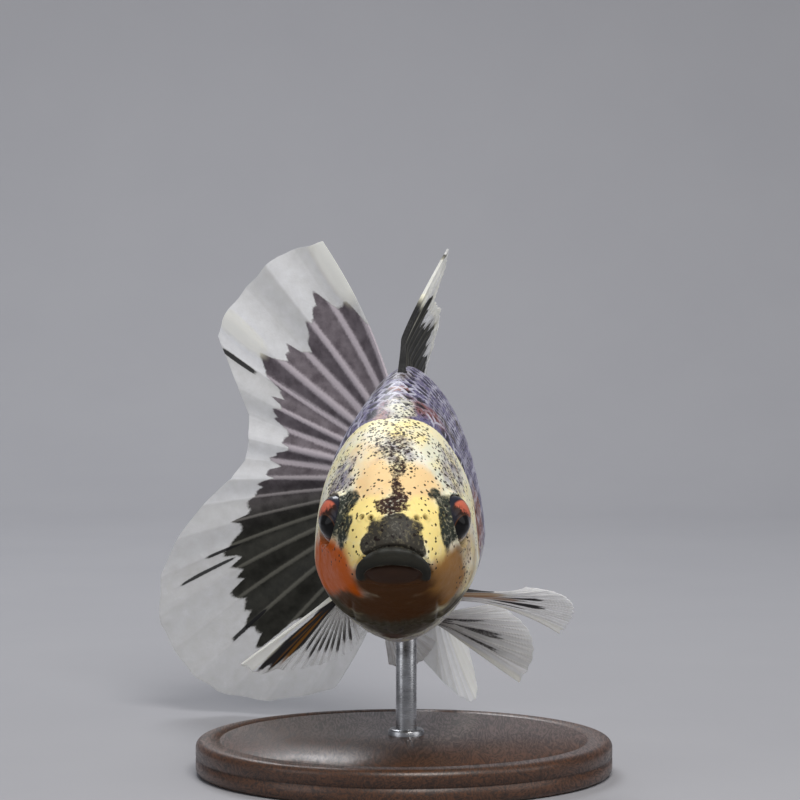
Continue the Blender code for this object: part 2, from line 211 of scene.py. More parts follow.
@dataclass(frozen=True)
class Swell:
    """One side of the body's outline: a blunt rise, then a long fall to the tail."""

    peak: float
    most: float
    at_tail: float
    rise: float
    bluntness: float
    fall: float
    length: float = BODY_LENGTH

    def at(self, station: Array) -> Array:
        """Height of the outline.

        Args:
            station: Distance back from the mouth.

        Returns:
            Millimetres from the backbone at each station.
        """
        ahead = np.clip(station / self.peak, 0.0, 1.0)
        front = self.most * (1.0 - (1.0 - ahead) ** self.rise) ** self.bluntness
        run = np.clip((station - self.peak) / (self.length - self.peak), 0.0, 1.0)
        ease = 0.5 + 0.5 * np.cos(math.pi * run)
        rear = self.at_tail + (self.most - self.at_tail) * np.maximum(ease, 0.0) ** self.fall
        return np.where(station <= self.peak, front, rear)


@dataclass
class BodyForm:
    """Rounded body that the skin and the scales follow."""

    backbone: Backbone
    back: Swell = Swell(44.0, 21.8, 6.4, 1.7, 0.62, 0.85)
    belly: Swell = Swell(42.0, 16.6, 6.2, 1.8, 0.72, 0.9)
    flank: Swell = Swell(38.0, 11.5, 1.7, 2.0, 0.385, 0.8)
    widest_up: Stops = ((0.0, -0.3), (22.0, -3.0), (46.0, -2.0), (90.0, 0.0))
    square_above: Stops = ((0.0, 2.4), (13.0, 2.3), (40.0, 1.55), (76.0, 2.0))
    square_below: Stops = ((0.0, 2.2), (12.0, 1.9), (24.0, 1.66), (42.0, 1.6), (76.0, 2.0))
    length: float = BODY_LENGTH
    neck_at_side: float = 27.0
    neck_lean: float = 3.0
    neck_bow: float = 9.0
    wrist_from: float = 83.0
    wrist_thinning: float = 0.6
    little_way: float = 0.2
    little_turn: float = 0.02

    def section(self, station: Array, angle: Array) -> tuple[Array, Array]:
        """Side and up of the body's surface.

        Args:
            station: Distance back from the mouth.
            angle: Turn about the backbone, 0 at the fish's left and a right angle at
                its back.

        Returns:
            The side and the up of each point.
        """
        widest = ease_through(station, self.widest_up)
        above = np.sin(angle) >= 0.0
        height = np.where(above, self.back.at(station) - widest, self.belly.at(station) + widest)
        square = np.where(above, ease_through(station, self.square_above),
                          ease_through(station, self.square_below))
        power = 2.0 / square
        thin = 1.0 - self.wrist_thinning * rise(self.wrist_from, self.length, station)
        half_width = self.flank.at(station) * thin
        side = half_width * np.sign(np.cos(angle)) * np.abs(np.cos(angle)) ** power
        up = widest + height * np.sign(np.sin(angle)) * np.abs(np.sin(angle)) ** power
        return side, up

    def surface(self, station: Array, angle: Array) -> Array:
        """World places of the body's surface."""
        return self.backbone.place(station, *self.section(station, angle))

    def outward(self, station: Array, angle: Array) -> Array:
        """Directions standing out of the body's surface.

        Args:
            station: Distance back from the mouth.
            angle: Turn about the backbone.

        Returns:
            One unit vector for each point.
        """
        ahead, behind = (self.surface(station + way, angle)
                         for way in (-self.little_way, self.little_way))
        before, after = (self.surface(station, angle + turn)
                         for turn in (-self.little_turn, self.little_turn))
        return unit(np.cross(behind - ahead, after - before))

    def neck(self, angle: Array) -> Array:
        """Station of the rear edge of the head at each angle."""
        lift = np.sin(angle)
        return self.neck_at_side + self.neck_lean * lift - self.neck_bow * lift * lift


def grid_normals(points: Array, closed: bool) -> Array:
    """Directions standing out of a grid of points.

    Args:
        points: Grid of rows and columns of points.
        closed: True where the last column joins the first.

    Returns:
        One unit vector for each point.
    """
    down = np.gradient(points, axis=0)
    if closed:
        over = np.roll(points, -1, axis=1) - np.roll(points, 1, axis=1)
    else:
        over = np.gradient(points, axis=1)
    return unit(np.cross(down, over))


# --- meshes

@dataclass
class Piece:
    """What one mesh is made from, in millimetres.

    Corner maps hold one pair for each corner of each face, and fields hold one number
    for each vertex.
    """

    name: str
    slot: str
    places: Array
    faces: list
    unwrap: Array
    fields: dict[str, Array] = field(default_factory=dict)

    def make(self, finish: bpy.types.Material, replaced: tuple[str, ...] = ()) -> bpy.types.Object:
        """Make the object, dress it and let it ride with the model.

        Args:
            finish: The material that it wears.
            replaced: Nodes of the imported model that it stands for.

        Returns:
            The new object.
        """
        mesh = bpy.data.meshes.new(self.name)
        mesh.from_pydata((self.places.reshape(-1, 3) * MM).tolist(), [], self.faces)
        uv_map = mesh.uv_layers.new(name="OFBake")
        uv_map.data.foreach_set("uv", np.asarray(self.unwrap, np.float32).ravel())
        for label, values in self.fields.items():
            layer = mesh.attributes.new(label, 'FLOAT', 'POINT')
            layer.data.foreach_set("value", np.asarray(values, np.float32).ravel())
        mesh.shade_smooth()
        mesh.set_sharp_from_angle(angle=SHARP_EDGE)
        mesh.materials.append(finish)
        made = bpy.data.objects.new(self.name, mesh)
        bpy.context.scene.collection.objects.link(made)
        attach(made, "root")
        if replaced:
            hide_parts(*replaced)
        log.info("%s: %d faces", self.name, len(mesh.polygons))
        return made


def wrap_faces(rows: int, columns: int) -> tuple[list, Array]:
    """Faces of a grid whose last column joins the first.

    Args:
        rows: How many rows of points.
        columns: How many points in each row.

    Returns:
        The faces, and the row and column of each of their corners.
    """
    i, j = np.meshgrid(np.arange(rows - 1), np.arange(columns), indexing="ij")
    corners = np.stack([np.stack([i, j], -1), np.stack([i + 1, j], -1),
                        np.stack([i + 1, j + 1], -1), np.stack([i, j + 1], -1)], 2)
    corners = corners.reshape(-1, 4, 2)
    faces = corners[..., 0] * columns + corners[..., 1] % columns
    return faces.tolist(), corners


def sheet_faces(rows: int, columns: int) -> tuple[list, Array]:
    """Faces of a closed thin sheet made of an upper and a lower grid.

    Args:
        rows: How many rows of points in each grid.
        columns: How many points in each row.

    Returns:
        The faces, upper grid first, then lower, then rim, and for each corner its
        grid, row and column.
    """
    i, j = np.meshgrid(np.arange(rows - 1), np.arange(columns - 1), indexing="ij")
    top = np.stack([np.stack([0 * i, i + a, j + b], -1)
                    for a, b in ((0, 0), (1, 0), (1, 1), (0, 1))], 2).reshape(-1, 4, 3)
    under = top[:, ::-1].copy()
    under[..., 0] = 1
    rim = [(0, j) for j in range(columns)]
    rim += [(i, columns - 1) for i in range(1, rows)]
    rim += [(rows - 1, j) for j in range(columns - 2, -1, -1)]
    rim += [(i, 0) for i in range(rows - 2, 0, -1)]
    edge = np.array([[(0, *a), (0, *b), (1, *b), (1, *a)] for a, b in zip(rim, rim[1:] + rim[:1])])
    corners = np.concatenate([top, under, edge])
    faces = corners[..., 0] * rows * columns + corners[..., 1] * columns + corners[..., 2]
    return faces.tolist(), corners


# --- relief of the head

@dataclass(frozen=True)
class Mouth:
    """Blunt, down-turned mouth: an arched upper lip over a small tucked lower lip."""

    foot_up: float = -1.7
    outer_wide: float = 4.9
    outer_tall: float = 3.8
    inner_wide: float = 3.7
    inner_tall: float = 1.3
    lip_roll: float = 0.6
    ridge: Ridge = Ridge(0.16, 0.76, 0.11)
    fold: Ridge = Ridge(-0.4, 0.05, 0.2)
    slit: Ridge = Ridge(-0.42, -0.1, 0.2)
    crease: Ridge = Ridge(-0.1, -1.6, 0.4)
    lower_up: float = -2.3
    lower_wide: float = 3.4
    lower_tall: float = 1.5
    lower_roll: float = 0.3

    def above_foot(self, low: float, high: float, up: Array) -> Array:
        """Smooth step from 0 to 1 between two heights above the corners of the mouth."""
        return rise(self.foot_up + low, self.foot_up + high, up)

    def from_arch(self, side: Array, up: Array, wide: float, tall: float) -> Array:
        """Distance outside an arch that stands on the corners of the mouth.

        Args:
            side: Side of each point.
            up: Up of each point.
            wide: Half of the arch's width.
            tall: Its height.

        Returns:
            Millimetres outside it, or less than 0 inside.
        """
        lift = up - self.foot_up
        ratio = np.maximum(np.hypot(side / wide, lift / tall), 1e-3)
        slope = np.hypot(side / wide ** 2, lift / tall ** 2) / ratio
        return (ratio - 1.0) / np.maximum(slope, 1e-3)

    def across_lip(self, side: Array, up: Array) -> Array:
        """Share of the way over the upper lip.

        Args:
            side: Side of each point.
            up: Up of each point.

        Returns:
            0 at the lip's inner edge and 1 at its fold.
        """
        inner = self.from_arch(side, up, self.inner_wide, self.inner_tall)
        outer = self.from_arch(side, up, self.outer_wide, self.outer_tall)
        across = np.clip(inner / np.maximum(inner - outer, 1e-3), 0.0, 1.0)
        return np.where(inner < 0.0, 0.0, np.where(outer > 0.0, 1.0, across))

    def upper_lip(self, side: Array, up: Array) -> Array:
        """1 along the middle of the upper lip, and 0 at its two edges and beyond."""
        across = self.across_lip(side, up)
        return 4.0 * across * (1.0 - across) * self.above_foot(-1.5, -0.4, up)

    def opening(self, side: Array, up: Array) -> Array:
        """1 inside the mouth and on the lower lip, fading out just beyond."""
        inner = self.from_arch(side, up, self.inner_wide, self.inner_tall)
        return (1.0 - rise(-0.1, 0.25, inner)) * self.above_foot(-2.2, -0.2, up)

    def lift(self, side: Array, up: Array) -> Array:
        """How far the lips stand out of the end of the snout and the folds sink in.

        Args:
            side: Side of each point.
            up: Up of each point.

        Returns:
            Millimetres outwards.
        """
        inner = self.from_arch(side, up, self.inner_wide, self.inner_tall)
        outer = self.from_arch(side, up, self.outer_wide, self.outer_tall)
        off_middle = np.abs(side)
        folds = self.ridge.on(self.across_lip(side, up)) + self.fold.on(outer)
        folds = folds + self.slit.on(inner) * (1.0 - rise(2.2, 3.6, off_middle))
        mound = 1.0 - (side / self.lower_wide) ** 2
        mound = mound - ((up - self.lower_up) / self.lower_tall) ** 2
        crease = self.crease.on(up - self.lower_up) * (1.0 - rise(2.5, 4.0, off_middle))
        return (self.lip_roll * self.upper_lip(side, up) ** 0.6
                + folds * self.above_foot(-0.9, 0.2, up)
                + self.lower_roll * np.maximum(mound, 0.0) + crease)


@dataclass(frozen=True)
class Relief:
    """Everything that stands out of, or sinks into, the smooth form of the body."""

    mouth: Mouth = Mouth()
    brow: Ridge = Ridge(0.35, 5.8, 2.4)
    nose_dent: Ridge = Ridge(-0.2, 4.6, 1.2)
    eye_place: Triple = (11.5, 7.5, 4.0)
    socket_forward: float = math.radians(18.0)
    socket_depth: float = 2.3
    orbit: float = 3.35
    orbit_rim: Ridge = Ridge(0.3, 0.3, 0.28)
    orbit_ditch: Ridge = Ridge(-0.12, 1.0, 0.35)
    orbit_swelling: Ridge = Ridge(0.45, 0.0, 1.7)
    nostrils: tuple[Triple, ...] = ((3.3, 3.0, 5.4), (4.0, 4.15, 5.4))
    nostril_rim: Ridge = Ridge(0.14, 0.5, 0.17)
    nostril_hole: Ridge = Ridge(-0.5, 0.0, 0.3)
    nostril_shade: Ridge = Ridge(1.0, 0.0, 0.36)
    gill_proud: float = 0.4
    gill_hem: Ridge = Ridge(-0.16, -1.3, 0.35)
    cheek_plate_rear: float = 17.0
    cheek_seam: Ridge = Ridge(-0.26, 0.0, 0.3)
    cheek_lip: Ridge = Ridge(0.12, -0.7, 0.5)
    throat_seam: Ridge = Ridge(-0.2, 0.0, 0.28)
    throat_seam_turn: float = -0.92
    throat_fold: float = 0.09
    throat_fold_pace: float = 42.0
    coat_depth: float = 0.18

    def from_gaze(self, place: Array) -> Array:
        """Distance of each place from the line that the nearer eye's socket follows.

        Args:
            place: (station, side, up) of each point.

        Returns:
            Millimetres from the line, or a long way on the far side of the body.
        """
        near = place * np.array((1.0, 0.0, 1.0))
        near[..., 1] = np.abs(place[..., 1])
        gaze = np.array((-math.sin(self.socket_forward), math.cos(self.socket_forward), 0.0))
        offset = near - np.array(self.eye_place)
        ahead = offset @ gaze
        across = np.linalg.norm(offset - ahead[..., None] * gaze, axis=-1)
        return np.where(ahead > -1.5, across, FAR_AWAY)

    def eye_relief(self, place: Array) -> Array:
        """Socket, lid-like rim and the swelling of the orbit.

        Args:
            place: (station, side, up) of each point.

        Returns:
            Millimetres outwards.
        """
        out = self.from_gaze(place)
        beyond = rise(self.orbit - 0.35, self.orbit + 0.12, out)
        past = out - self.orbit
        around = self.orbit_rim.on(past) + self.orbit_ditch.on(past)
        around = around + self.orbit_swelling.on(np.maximum(past, 0.0))
        return -self.socket_depth * (1.0 - beyond) + around * beyond

    def from_nostrils(self, place: Array) -> list[Array]:
        """Distances of each place from the front and the rear nostril of its own side."""
        near = np.where((False, True, False), np.abs(place), place)
        return [np.linalg.norm(near - np.array(centre), axis=-1) for centre in self.nostrils]

    def nostril_relief(self, place: Array) -> Array:
        """Two openings on each side of the snout, with a raised rim."""
        return sum(self.nostril_rim.on(out) + self.nostril_hole.on(out)
                   for out in self.from_nostrils(place))

    def nostril_dark(self, place: Array) -> Array:
        """Painted shade in the nostril openings: 1 in them, 0 around them."""
        return sum(self.nostril_shade.on(out) for out in self.from_nostrils(place))

    def gill_relief(self, form: BodyForm, station: Array, angle: Array) -> Array:
        """Gill covers with their sutures, and the step down to the shoulder.

        Args:
            form: The smooth body.
            station: Station of each point.
            angle: Its angle about the backbone.

        Returns:
            Millimetres outwards.
        """
        turn = np.arctan2(np.sin(angle), np.abs(np.cos(angle)))
        neck = form.neck(turn)
        on_head = 1.0 - rise(neck - 0.12, neck + 0.12, station)
        at_side = rise(-1.45, -1.0, turn) * (1.0 - rise(0.45, 0.85, turn))
        plate = self.gill_proud * on_head * (0.35 + 0.65 * at_side) * rise(10.0, 19.0, station)
        from_seam = station - (self.cheek_plate_rear + 2.0 * (turn + 0.2) ** 2)
        seams = self.gill_hem.on(station - neck) + self.cheek_seam.on(from_seam)
        seams = (seams + self.cheek_lip.on(from_seam)) * at_side
        below = (turn - self.throat_seam_turn) * 8.5 + 0.15 * (station - 16.0)
        throat = self.throat_seam.on(below) * rise(9.0, 12.0, station)
        folds = self.throat_fold * np.cos(turn * self.throat_fold_pace)
        folds = folds * (1.0 - rise(-1.15, -1.0, turn)) * rise(11.0, 15.0, station)
        return plate + seams + (throat + folds) * on_head - self.coat_depth * (1.0 - on_head)

    def lift(self, form: BodyForm, place: Array, angle: Array) -> Array:
        """Total relief, outwards from the smooth body.

        Args:
            form: The smooth body.
            place: (station, side, up) of each point.
            angle: Its angle about the backbone.

        Returns:
            Millimetres outwards.
        """
        station, side, up = np.moveaxis(place, -1, 0)
        at_snout = 1.0 - rise(4.0, 6.0, station)
        uneven = 0.1 * wobble(place, 9.0, 3) * rise(3.0, 7.0, station)
        uneven = uneven * (1.0 - rise(20.0, 26.0, station))
        brow = self.brow.on(up) * hump(station - 1.5, 3.5)
        dent = self.nose_dent.on(np.abs(side)) * hump(station - 7.5, 2.4) * (up > 0.0)
        return (self.mouth.lift(side, up) * at_snout + brow + dent + uneven
                + self.eye_relief(place) + self.nostril_relief(place)
                + self.gill_relief(form, station, angle))


# --- markings

class Pigment(Enum):
    """Colours of the calico coat, named for the field that says where each one lies."""

    GOLD = "gold"
    PEACH = "peach"
    WHITE = "white"
    LILAC = "lilac"
    RUST = "rust"
    TAN = "tan"
    ORANGE = "orange"
    OLIVE = "olive"
    SLATE = "slate"
    UMBER = "umber"
    # The next two are the chin's dark brown and the throat's grey-green, partly painted shade under the
    # head.
    BARK = "bark"
    MOSS = "moss"
    SPECK = "speck"
    INK = "ink"


@dataclass(frozen=True)
class Blot:
    """Soft-edged patch of one pigment about a place on the fish."""

    pigment: Pigment
    place: Triple
    reach: Triple
    strength: float = 1.0

    def on(self, place: Array) -> Array:
        """How strongly the patch shows at each place."""
        away = np.linalg.norm((place - np.array(self.place)) / np.array(self.reach), axis=-1)
        return self.strength * (1.0 - rise(0.45, 1.15, away))


FACE_BLOTS = (
    # The dark seam down the forehead, from the crown to the snout
    Blot(Pigment.UMBER, (4.2, -0.1, 6.9), (3.4, 2.9, 1.5)),
    Blot(Pigment.UMBER, (4.8, 0.5, 7.7), (2.4, 1.7, 1.5)),
    Blot(Pigment.UMBER, (7.0, 0.3, 9.3), (3.4, 0.9, 2.9), 0.8),
    Blot(Pigment.UMBER, (10.0, 0.4, 11.5), (3.4, 1.7, 2.6), 0.62),
    Blot(Pigment.UMBER, (14.6, -0.1, 13.9), (5.6, 4.0, 3.4), 0.52),
    Blot(Pigment.LILAC, (13.4, 0.2, 13.4), (5.5, 3.6, 3.4), 0.42),
    Blot(Pigment.SPECK, (12.0, 0.5, 12.8), (6.5, 3.6, 4.2), 1.1),
    Blot(Pigment.SPECK, (17.4, 0.0, 15.3), (6.5, 6.2, 3.8), 1.2),
    Blot(Pigment.SPECK, (6.0, 0.0, 8.0), (4.0, 3.4, 3.0), 0.5),
    # Slate mask over the end of the snout
    Blot(Pigment.SLATE, (2.2, 0.1, 2.5), (4.8, 4.3, 4.2), 1.3),
    Blot(Pigment.SLATE, (1.4, -2.9, 1.9), (2.6, 1.8, 1.9), 1.2),
    Blot(Pigment.SLATE, (1.4, 2.9, 1.9), (2.6, 1.8, 1.9), 1.2),
    # Gold beside the seam and the mask, and on the crown
    Blot(Pigment.GOLD, (3.9, -4.0, 5.2), (6.0, 4.2, 4.2), 0.95),
    Blot(Pigment.GOLD, (3.9, 4.2, 5.2), (6.0, 4.4, 4.4), 0.95),
    Blot(Pigment.GOLD, (17.8, 1.6, 15.5), (5.0, 5.4, 3.2), 0.45),
    Blot(Pigment.GOLD, (3.4, -5.6, 0.9), (3.6, 3.0, 2.4), 0.9),
    Blot(Pigment.GOLD, (3.6, 5.6, 1.2), (3.6, 2.6, 3.0), 0.8),
    Blot(Pigment.PEACH, (8.4, -3.0, 10.0), (7.0, 3.8, 5.0), 0.95),
    Blot(Pigment.PEACH, (7.6, 3.2, 9.4), (6.0, 3.8, 4.6), 0.95),
    Blot(Pigment.PEACH, (14.0, -4.0, 12.4), (5.0, 3.4, 4.0), 0.5),
    Blot(Pigment.WHITE, (8.6, -5.2, 8.8), (3.4, 1.8, 2.2), 0.8),
    Blot(Pigment.WHITE, (10.4, 5.8, 9.2), (4.6, 2.2, 2.6), 0.95),
    Blot(Pigment.WHITE, (16.5, 5.2, 13.0), (5.0, 2.6, 3.6), 0.7),
    Blot(Pigment.WHITE, (24.2, 0.6, 17.8), (5.8, 2.3, 2.8), 0.85),
    # Dark patches before and above the eyes
    Blot(Pigment.OLIVE, (8.2, -6.0, 6.8), (2.8, 1.9, 2.6)),
    Blot(Pigment.OLIVE, (6.8, -6.7, 3.5), (3.4, 1.4, 4.0)),
    Blot(Pigment.OLIVE, (8.4, 5.4, 8.0), (1.8, 1.3, 1.3), 0.8),
    Blot(Pigment.OLIVE, (7.0, 6.7, 3.9), (3.8, 1.4, 4.3)),
    Blot(Pigment.OLIVE, (8.6, 6.6, 6.4), (2.6, 1.4, 2.2), 0.8),
    # Cheeks: orange on the right, tan gold on the left
    Blot(Pigment.ORANGE, (12.0, -8.2, -3.2), (17.0, 6.0, 6.2), 1.2),
    Blot(Pigment.TAN, (7.4, 7.2, -4.0), (10.5, 5.4, 6.0), 1.2),
    Blot(Pigment.TAN, (12.5, 9.4, -0.6), (6.0, 3.2, 5.6), 0.55),
    Blot(Pigment.TAN, (17.0, 10.4, -1.5), (7.0, 3.0, 7.0), 0.45),
    # Chin and throat: their own dark brown and grey-green, deepened by painted shade of the underside,
    # fading upwards into the cheeks
    Blot(Pigment.BARK, (3.0, 0.3, -3.6), (6.0, 6.9, 4.0), 1.15),
    Blot(Pigment.BARK, (8.0, 0.3, -7.2), (9.6, 8.6, 4.4), 0.95),
    Blot(Pigment.MOSS, (9.0, -5.4, -7.8), (6.0, 3.4, 3.4), 1.1),
    Blot(Pigment.MOSS, (8.4, 4.6, -8.8), (5.4, 3.0, 3.0), 0.85),
    Blot(Pigment.MOSS, (13.0, 0.3, -10.8), (14.0, 9.6, 4.8), 1.1),
    Blot(Pigment.MOSS, (17.0, -8.0, -9.6), (9.0, 4.0, 4.6), 1.1),
    Blot(Pigment.MOSS, (17.0, 8.4, -9.2), (9.0, 3.6, 4.0), 0.95),
    Blot(Pigment.BARK, (10.0, -6.6, -7.4), (6.0, 3.4, 2.8), 0.8),
    Blot(Pigment.BARK, (21.7, -0.6, -13.2), (3.4, 2.2, 1.8), 0.9),
    # Lilac on the temples, with dark flecks
    Blot(Pigment.LILAC, (14.5, -7.2, 9.0), (6.5, 2.8, 5.5), 0.52),
    Blot(Pigment.LILAC, (17.5, 7.6, 9.6), (7.5, 2.4, 6.5), 0.5),
    Blot(Pigment.SPECK, (17.0, 7.2, 9.6), (9.0, 3.2, 7.4), 0.95),
    Blot(Pigment.SPECK, (15.0, -7.0, 9.6), (7.0, 3.6, 5.6), 1.0),
    Blot(Pigment.SPECK, (14.0, 9.0, -2.6), (3.6, 2.4, 5.0), 0.6),
)

SHOULDER_BLOTS = (
    Blot(Pigment.RUST, (30.8, 0.4, 20.0), (1.5, 2.2, 1.6), 1.1),
    Blot(Pigment.RUST, (28.5, 5.0, 16.8), (3.4, 1.4, 2.2), 0.7),
    Blot(Pigment.RUST, (30.0, 10.9, 1.7), (7.5, 2.4, 6.4), 0.8),
    Blot(Pigment.UMBER, (38.5, 0.0, 21.6), (5.0, 2.4, 2.0), 0.9),
    Blot(Pigment.SPECK, (25.6, 0.6, 18.4), (8.0, 4.0, 3.2), 1.6),
)


@dataclass
class Markings:
    """Where every pigment lies, on the skin and on the scales alike."""

    form: BodyForm
    relief: Relief
    blots: tuple[Blot, ...] = FACE_BLOTS + SHOULDER_BLOTS
    nape: Blot = Blot(Pigment.WHITE, (24.2, 0.6, 17.8), (6.0, 2.5, 3.0), 0.7)
    # Band along the upper lip where a painted highlight lies.
    lip_highlight: Ridge = Ridge(1.0, 0.8, 0.13)

    def trunk(self, place: Array, behind: Array) -> dict[Pigment, Array]:
        """Calico pattern of the trunk: lilac back, pale belly, rust and ink patches.

        Args:
            place: (station, side, up) of each point.
            behind: 1 behind the head, 0 on it.

        Returns:
            The fields of the pigments that the trunk carries.
        """
        up = place[..., 2]
        slow = wobble(place, 17.0, 11)
        quick = wobble(place, 8.0, 12)
        low = 1.0 - rise(-9.5, 0.5, up + 2.0 * slow + 1.2 * quick)
        patch = rise(0.42, 0.75, wobble(place, 21.0, 7)) * rise(-8.0, 2.0, up)
        ink = 0.62 + 0.3 * rise(-6.0, 12.0, up) + 0.22 * quick - 0.45 * low
        return {
            Pigment.LILAC: behind * (1.0 - 0.75 * low),
            Pigment.WHITE: behind * low * 0.8,
            Pigment.RUST: behind * patch * 0.8,
            Pigment.INK: np.clip(behind * ink, 0.0, 1.0),
            Pigment.UMBER: behind * rise(0.5, 0.85, wobble(place, 13.0, 23)) * rise(4.0, 12.0, up),
            Pigment.SPECK: behind * 0.4,
        }

    def fields(self, place: Array, angle: Array) -> dict[str, Array]:
        """Every pigment's field at points of the body.

        Args:
            place: (station, side, up) of each point.
            angle: Its angle about the backbone.

        Returns:
            One named array for each pigment.
        """
        strayed = place + 0.35 * np.stack([wobble(place, 3.4, 31 + k) for k in range(3)], -1)
        neck = self.form.neck(angle)
        behind = rise(neck - 0.6, neck + 0.6, place[..., 0])
        found = {pigment: np.zeros(angle.shape) for pigment in Pigment}
        found.update(self.trunk(place, behind))
        off_nape = 1.0 - np.clip(self.nape.on(strayed), 0.0, 1.0)
        for pigment in (Pigment.LILAC, Pigment.INK, Pigment.RUST):
            found[pigment] = found[pigment] * off_nape
        for blot in self.blots:
            found[blot.pigment] = np.maximum(found[blot.pigment], blot.on(strayed))
        bare = (1.0 - behind) * rise(-3.0, 2.0, place[..., 2])
        found[Pigment.SPECK] = np.maximum(found[Pigment.SPECK], 0.22 * bare)
        return {pigment.value: values for pigment, values in found.items()}

    def openings(self, place: Array) -> dict[str, Array]:
        """Fields of the lips with a painted highlight along the upper lip, the inside of the mouth and the
        painted shade of the nostrils.

        Args:
            place: (station, side, up) of each point.

        Returns:
            One named array for each.
        """
        station, side, up = np.moveaxis(place, -1, 0)
        mouth = self.relief.mouth
        at_snout = 1.0 - rise(4.0, 6.0, station)
        lip = mouth.upper_lip(side, up) ** 0.3 * mouth.above_foot(-1.5, -0.1, up) * at_snout
        return {"lip": lip, "lip_highlight_band": self.lip_highlight.on(mouth.across_lip(side, up)) * lip,
                "cavity": mouth.opening(side, up) * at_snout,
                "nostril": self.relief.nostril_dark(place)}


# --- skin

@dataclass
class Skin:
    """One unbroken skin over head, gill covers, lips, trunk and tail stalk."""

    form: BodyForm
    relief: Relief
    markings: Markings
    rings: int = 286
    around: int = 330
    snout: float = 0.12
    snout_rings: int = 16
    fineness: Stops = ((0.0, 3.4), (14.0, 2.6), (32.0, 0.6))
    rear_bulge: float = 0.2
    border: float = 0.01
    nodes: tuple[str, ...] = ("head", "upper_lip", "lower_lip", "gill_cover_left",
                              "gill_cover_right", "trunk", "tail_stalk")

    def __post_init__(self) -> None:
        """Space the rings, closest together on the face."""
        run = self.snout + (self.form.length - self.snout) * np.linspace(0.0, 1.0, 6000) ** 3
        outline = np.stack([run, self.form.flank.at(run), self.form.back.at(run)], -1)
        steps = np.linalg.norm(np.diff(outline, axis=0), axis=1)
        path = np.concatenate([[0.0], np.cumsum(steps * ease_through(run[1:], self.fineness))])
        self.stations = np.interp(np.linspace(0.0, path[-1], self.rings), path, run)
        self.inside = 1.0 - 2.0 * self.border

    def unwrap(self, station: Array, angle: Array) -> Array:
        """Place of points of the body on the skin's flat map.

        Args:
            station: Station of each point.
            angle: Its angle about the backbone, from 0 to a full turn.

        Returns:
            A pair of shares of the map for each point.
        """
        row = np.interp(station, self.stations, np.arange(self.rings)) + self.snout_rings
        along = row / (self.rings + self.snout_rings)
        return self.border + self.inside * np.stack([along, angle / (2.0 * math.pi)], -1)

    def capped(self, faces: list, rows: int) -> tuple[list, Array]:
        """Close the skin with a fan of faces at the snout and one at the tail.

        Args:
            faces: The faces of the open skin.
            rows: How many rings of points it has.

        Returns:
            All the faces, and the places of the new corners on the flat map.
        """
        ring = np.arange(self.around)
        after = np.roll(ring, -1)
        count = rows * self.around
        last = count - self.around
        snout = np.stack([np.full(self.around, count), after, ring], -1)
        rear = np.stack([np.full(self.around, count + 1), last + ring, last + after], -1)
        flat = []
        for edge, turns in ((0.5 * self.border, (0.5, 1.0, 0.0)),
                            (1.0 - 0.5 * self.border, (0.5, 0.0, 1.0))):
            turn = self.border + self.inside * (ring[:, None] + turns) / self.around
            flat.append(np.stack([np.full(turn.shape, edge), turn], -1).reshape(-1, 2))
        return faces + snout.tolist() + rear.tolist(), np.concatenate(flat)

    def piece(self) -> Piece:
        """The skin's mesh, closed over the snout and at the tail.

        Returns:
            The piece, with the fields of its markings.
        """
        angle = 2.0 * math.pi * np.arange(self.around) / self.around
        shrink = (np.arange(self.snout_rings) + 0.6) / (self.snout_rings + 0.6)
        station = np.concatenate([self.snout * shrink ** 2.6, self.stations])
        size = np.concatenate([shrink, np.ones(self.rings)])[:, None]
        station, angle = np.meshgrid(station, angle, indexing="ij")
        held = np.maximum(station, self.snout)
        side, up = self.form.section(held, angle)
        middle = self.form.section(np.array(self.snout), np.array([0.5, 1.5]) * math.pi)[1].mean()
        side = side * size
        up = middle + (up - middle) * size
        smooth = self.form.backbone.place(station, side, up)
        out = grid_normals(smooth, closed=True)
        out[0] = out[1]
        place = np.stack([held, side, up], -1)
        places = smooth + out * self.relief.lift(self.form, place, angle)[..., None]
        rearwards = self.form.backbone.along(np.array(self.form.length))
        rear = places[-1].mean(axis=0) + rearwards * self.rear_bulge
        faces, corners = wrap_faces(*station.shape)
        flat = self.border + self.inside * corners / np.array(station.shape)
        faces, tips = self.capped(faces, len(places))
        fields = self.markings.fields(place, angle) | self.markings.openings(place)
        fields = {label: np.concatenate([v.ravel(), [v[0].mean(), v[-1].mean()]])
                  for label, v in fields.items()}
        ends = np.vstack([places.reshape(-1, 3), places[0].mean(axis=0), rear])
        return Piece("fish_skin", "head_gold", ends, faces,
                     np.concatenate([flat.reshape(-1, 2), tips]), fields)


# --- scales

class Flank(Enum):
    """The two sides of the fish."""

    LEFT = 1
    RIGHT = -1


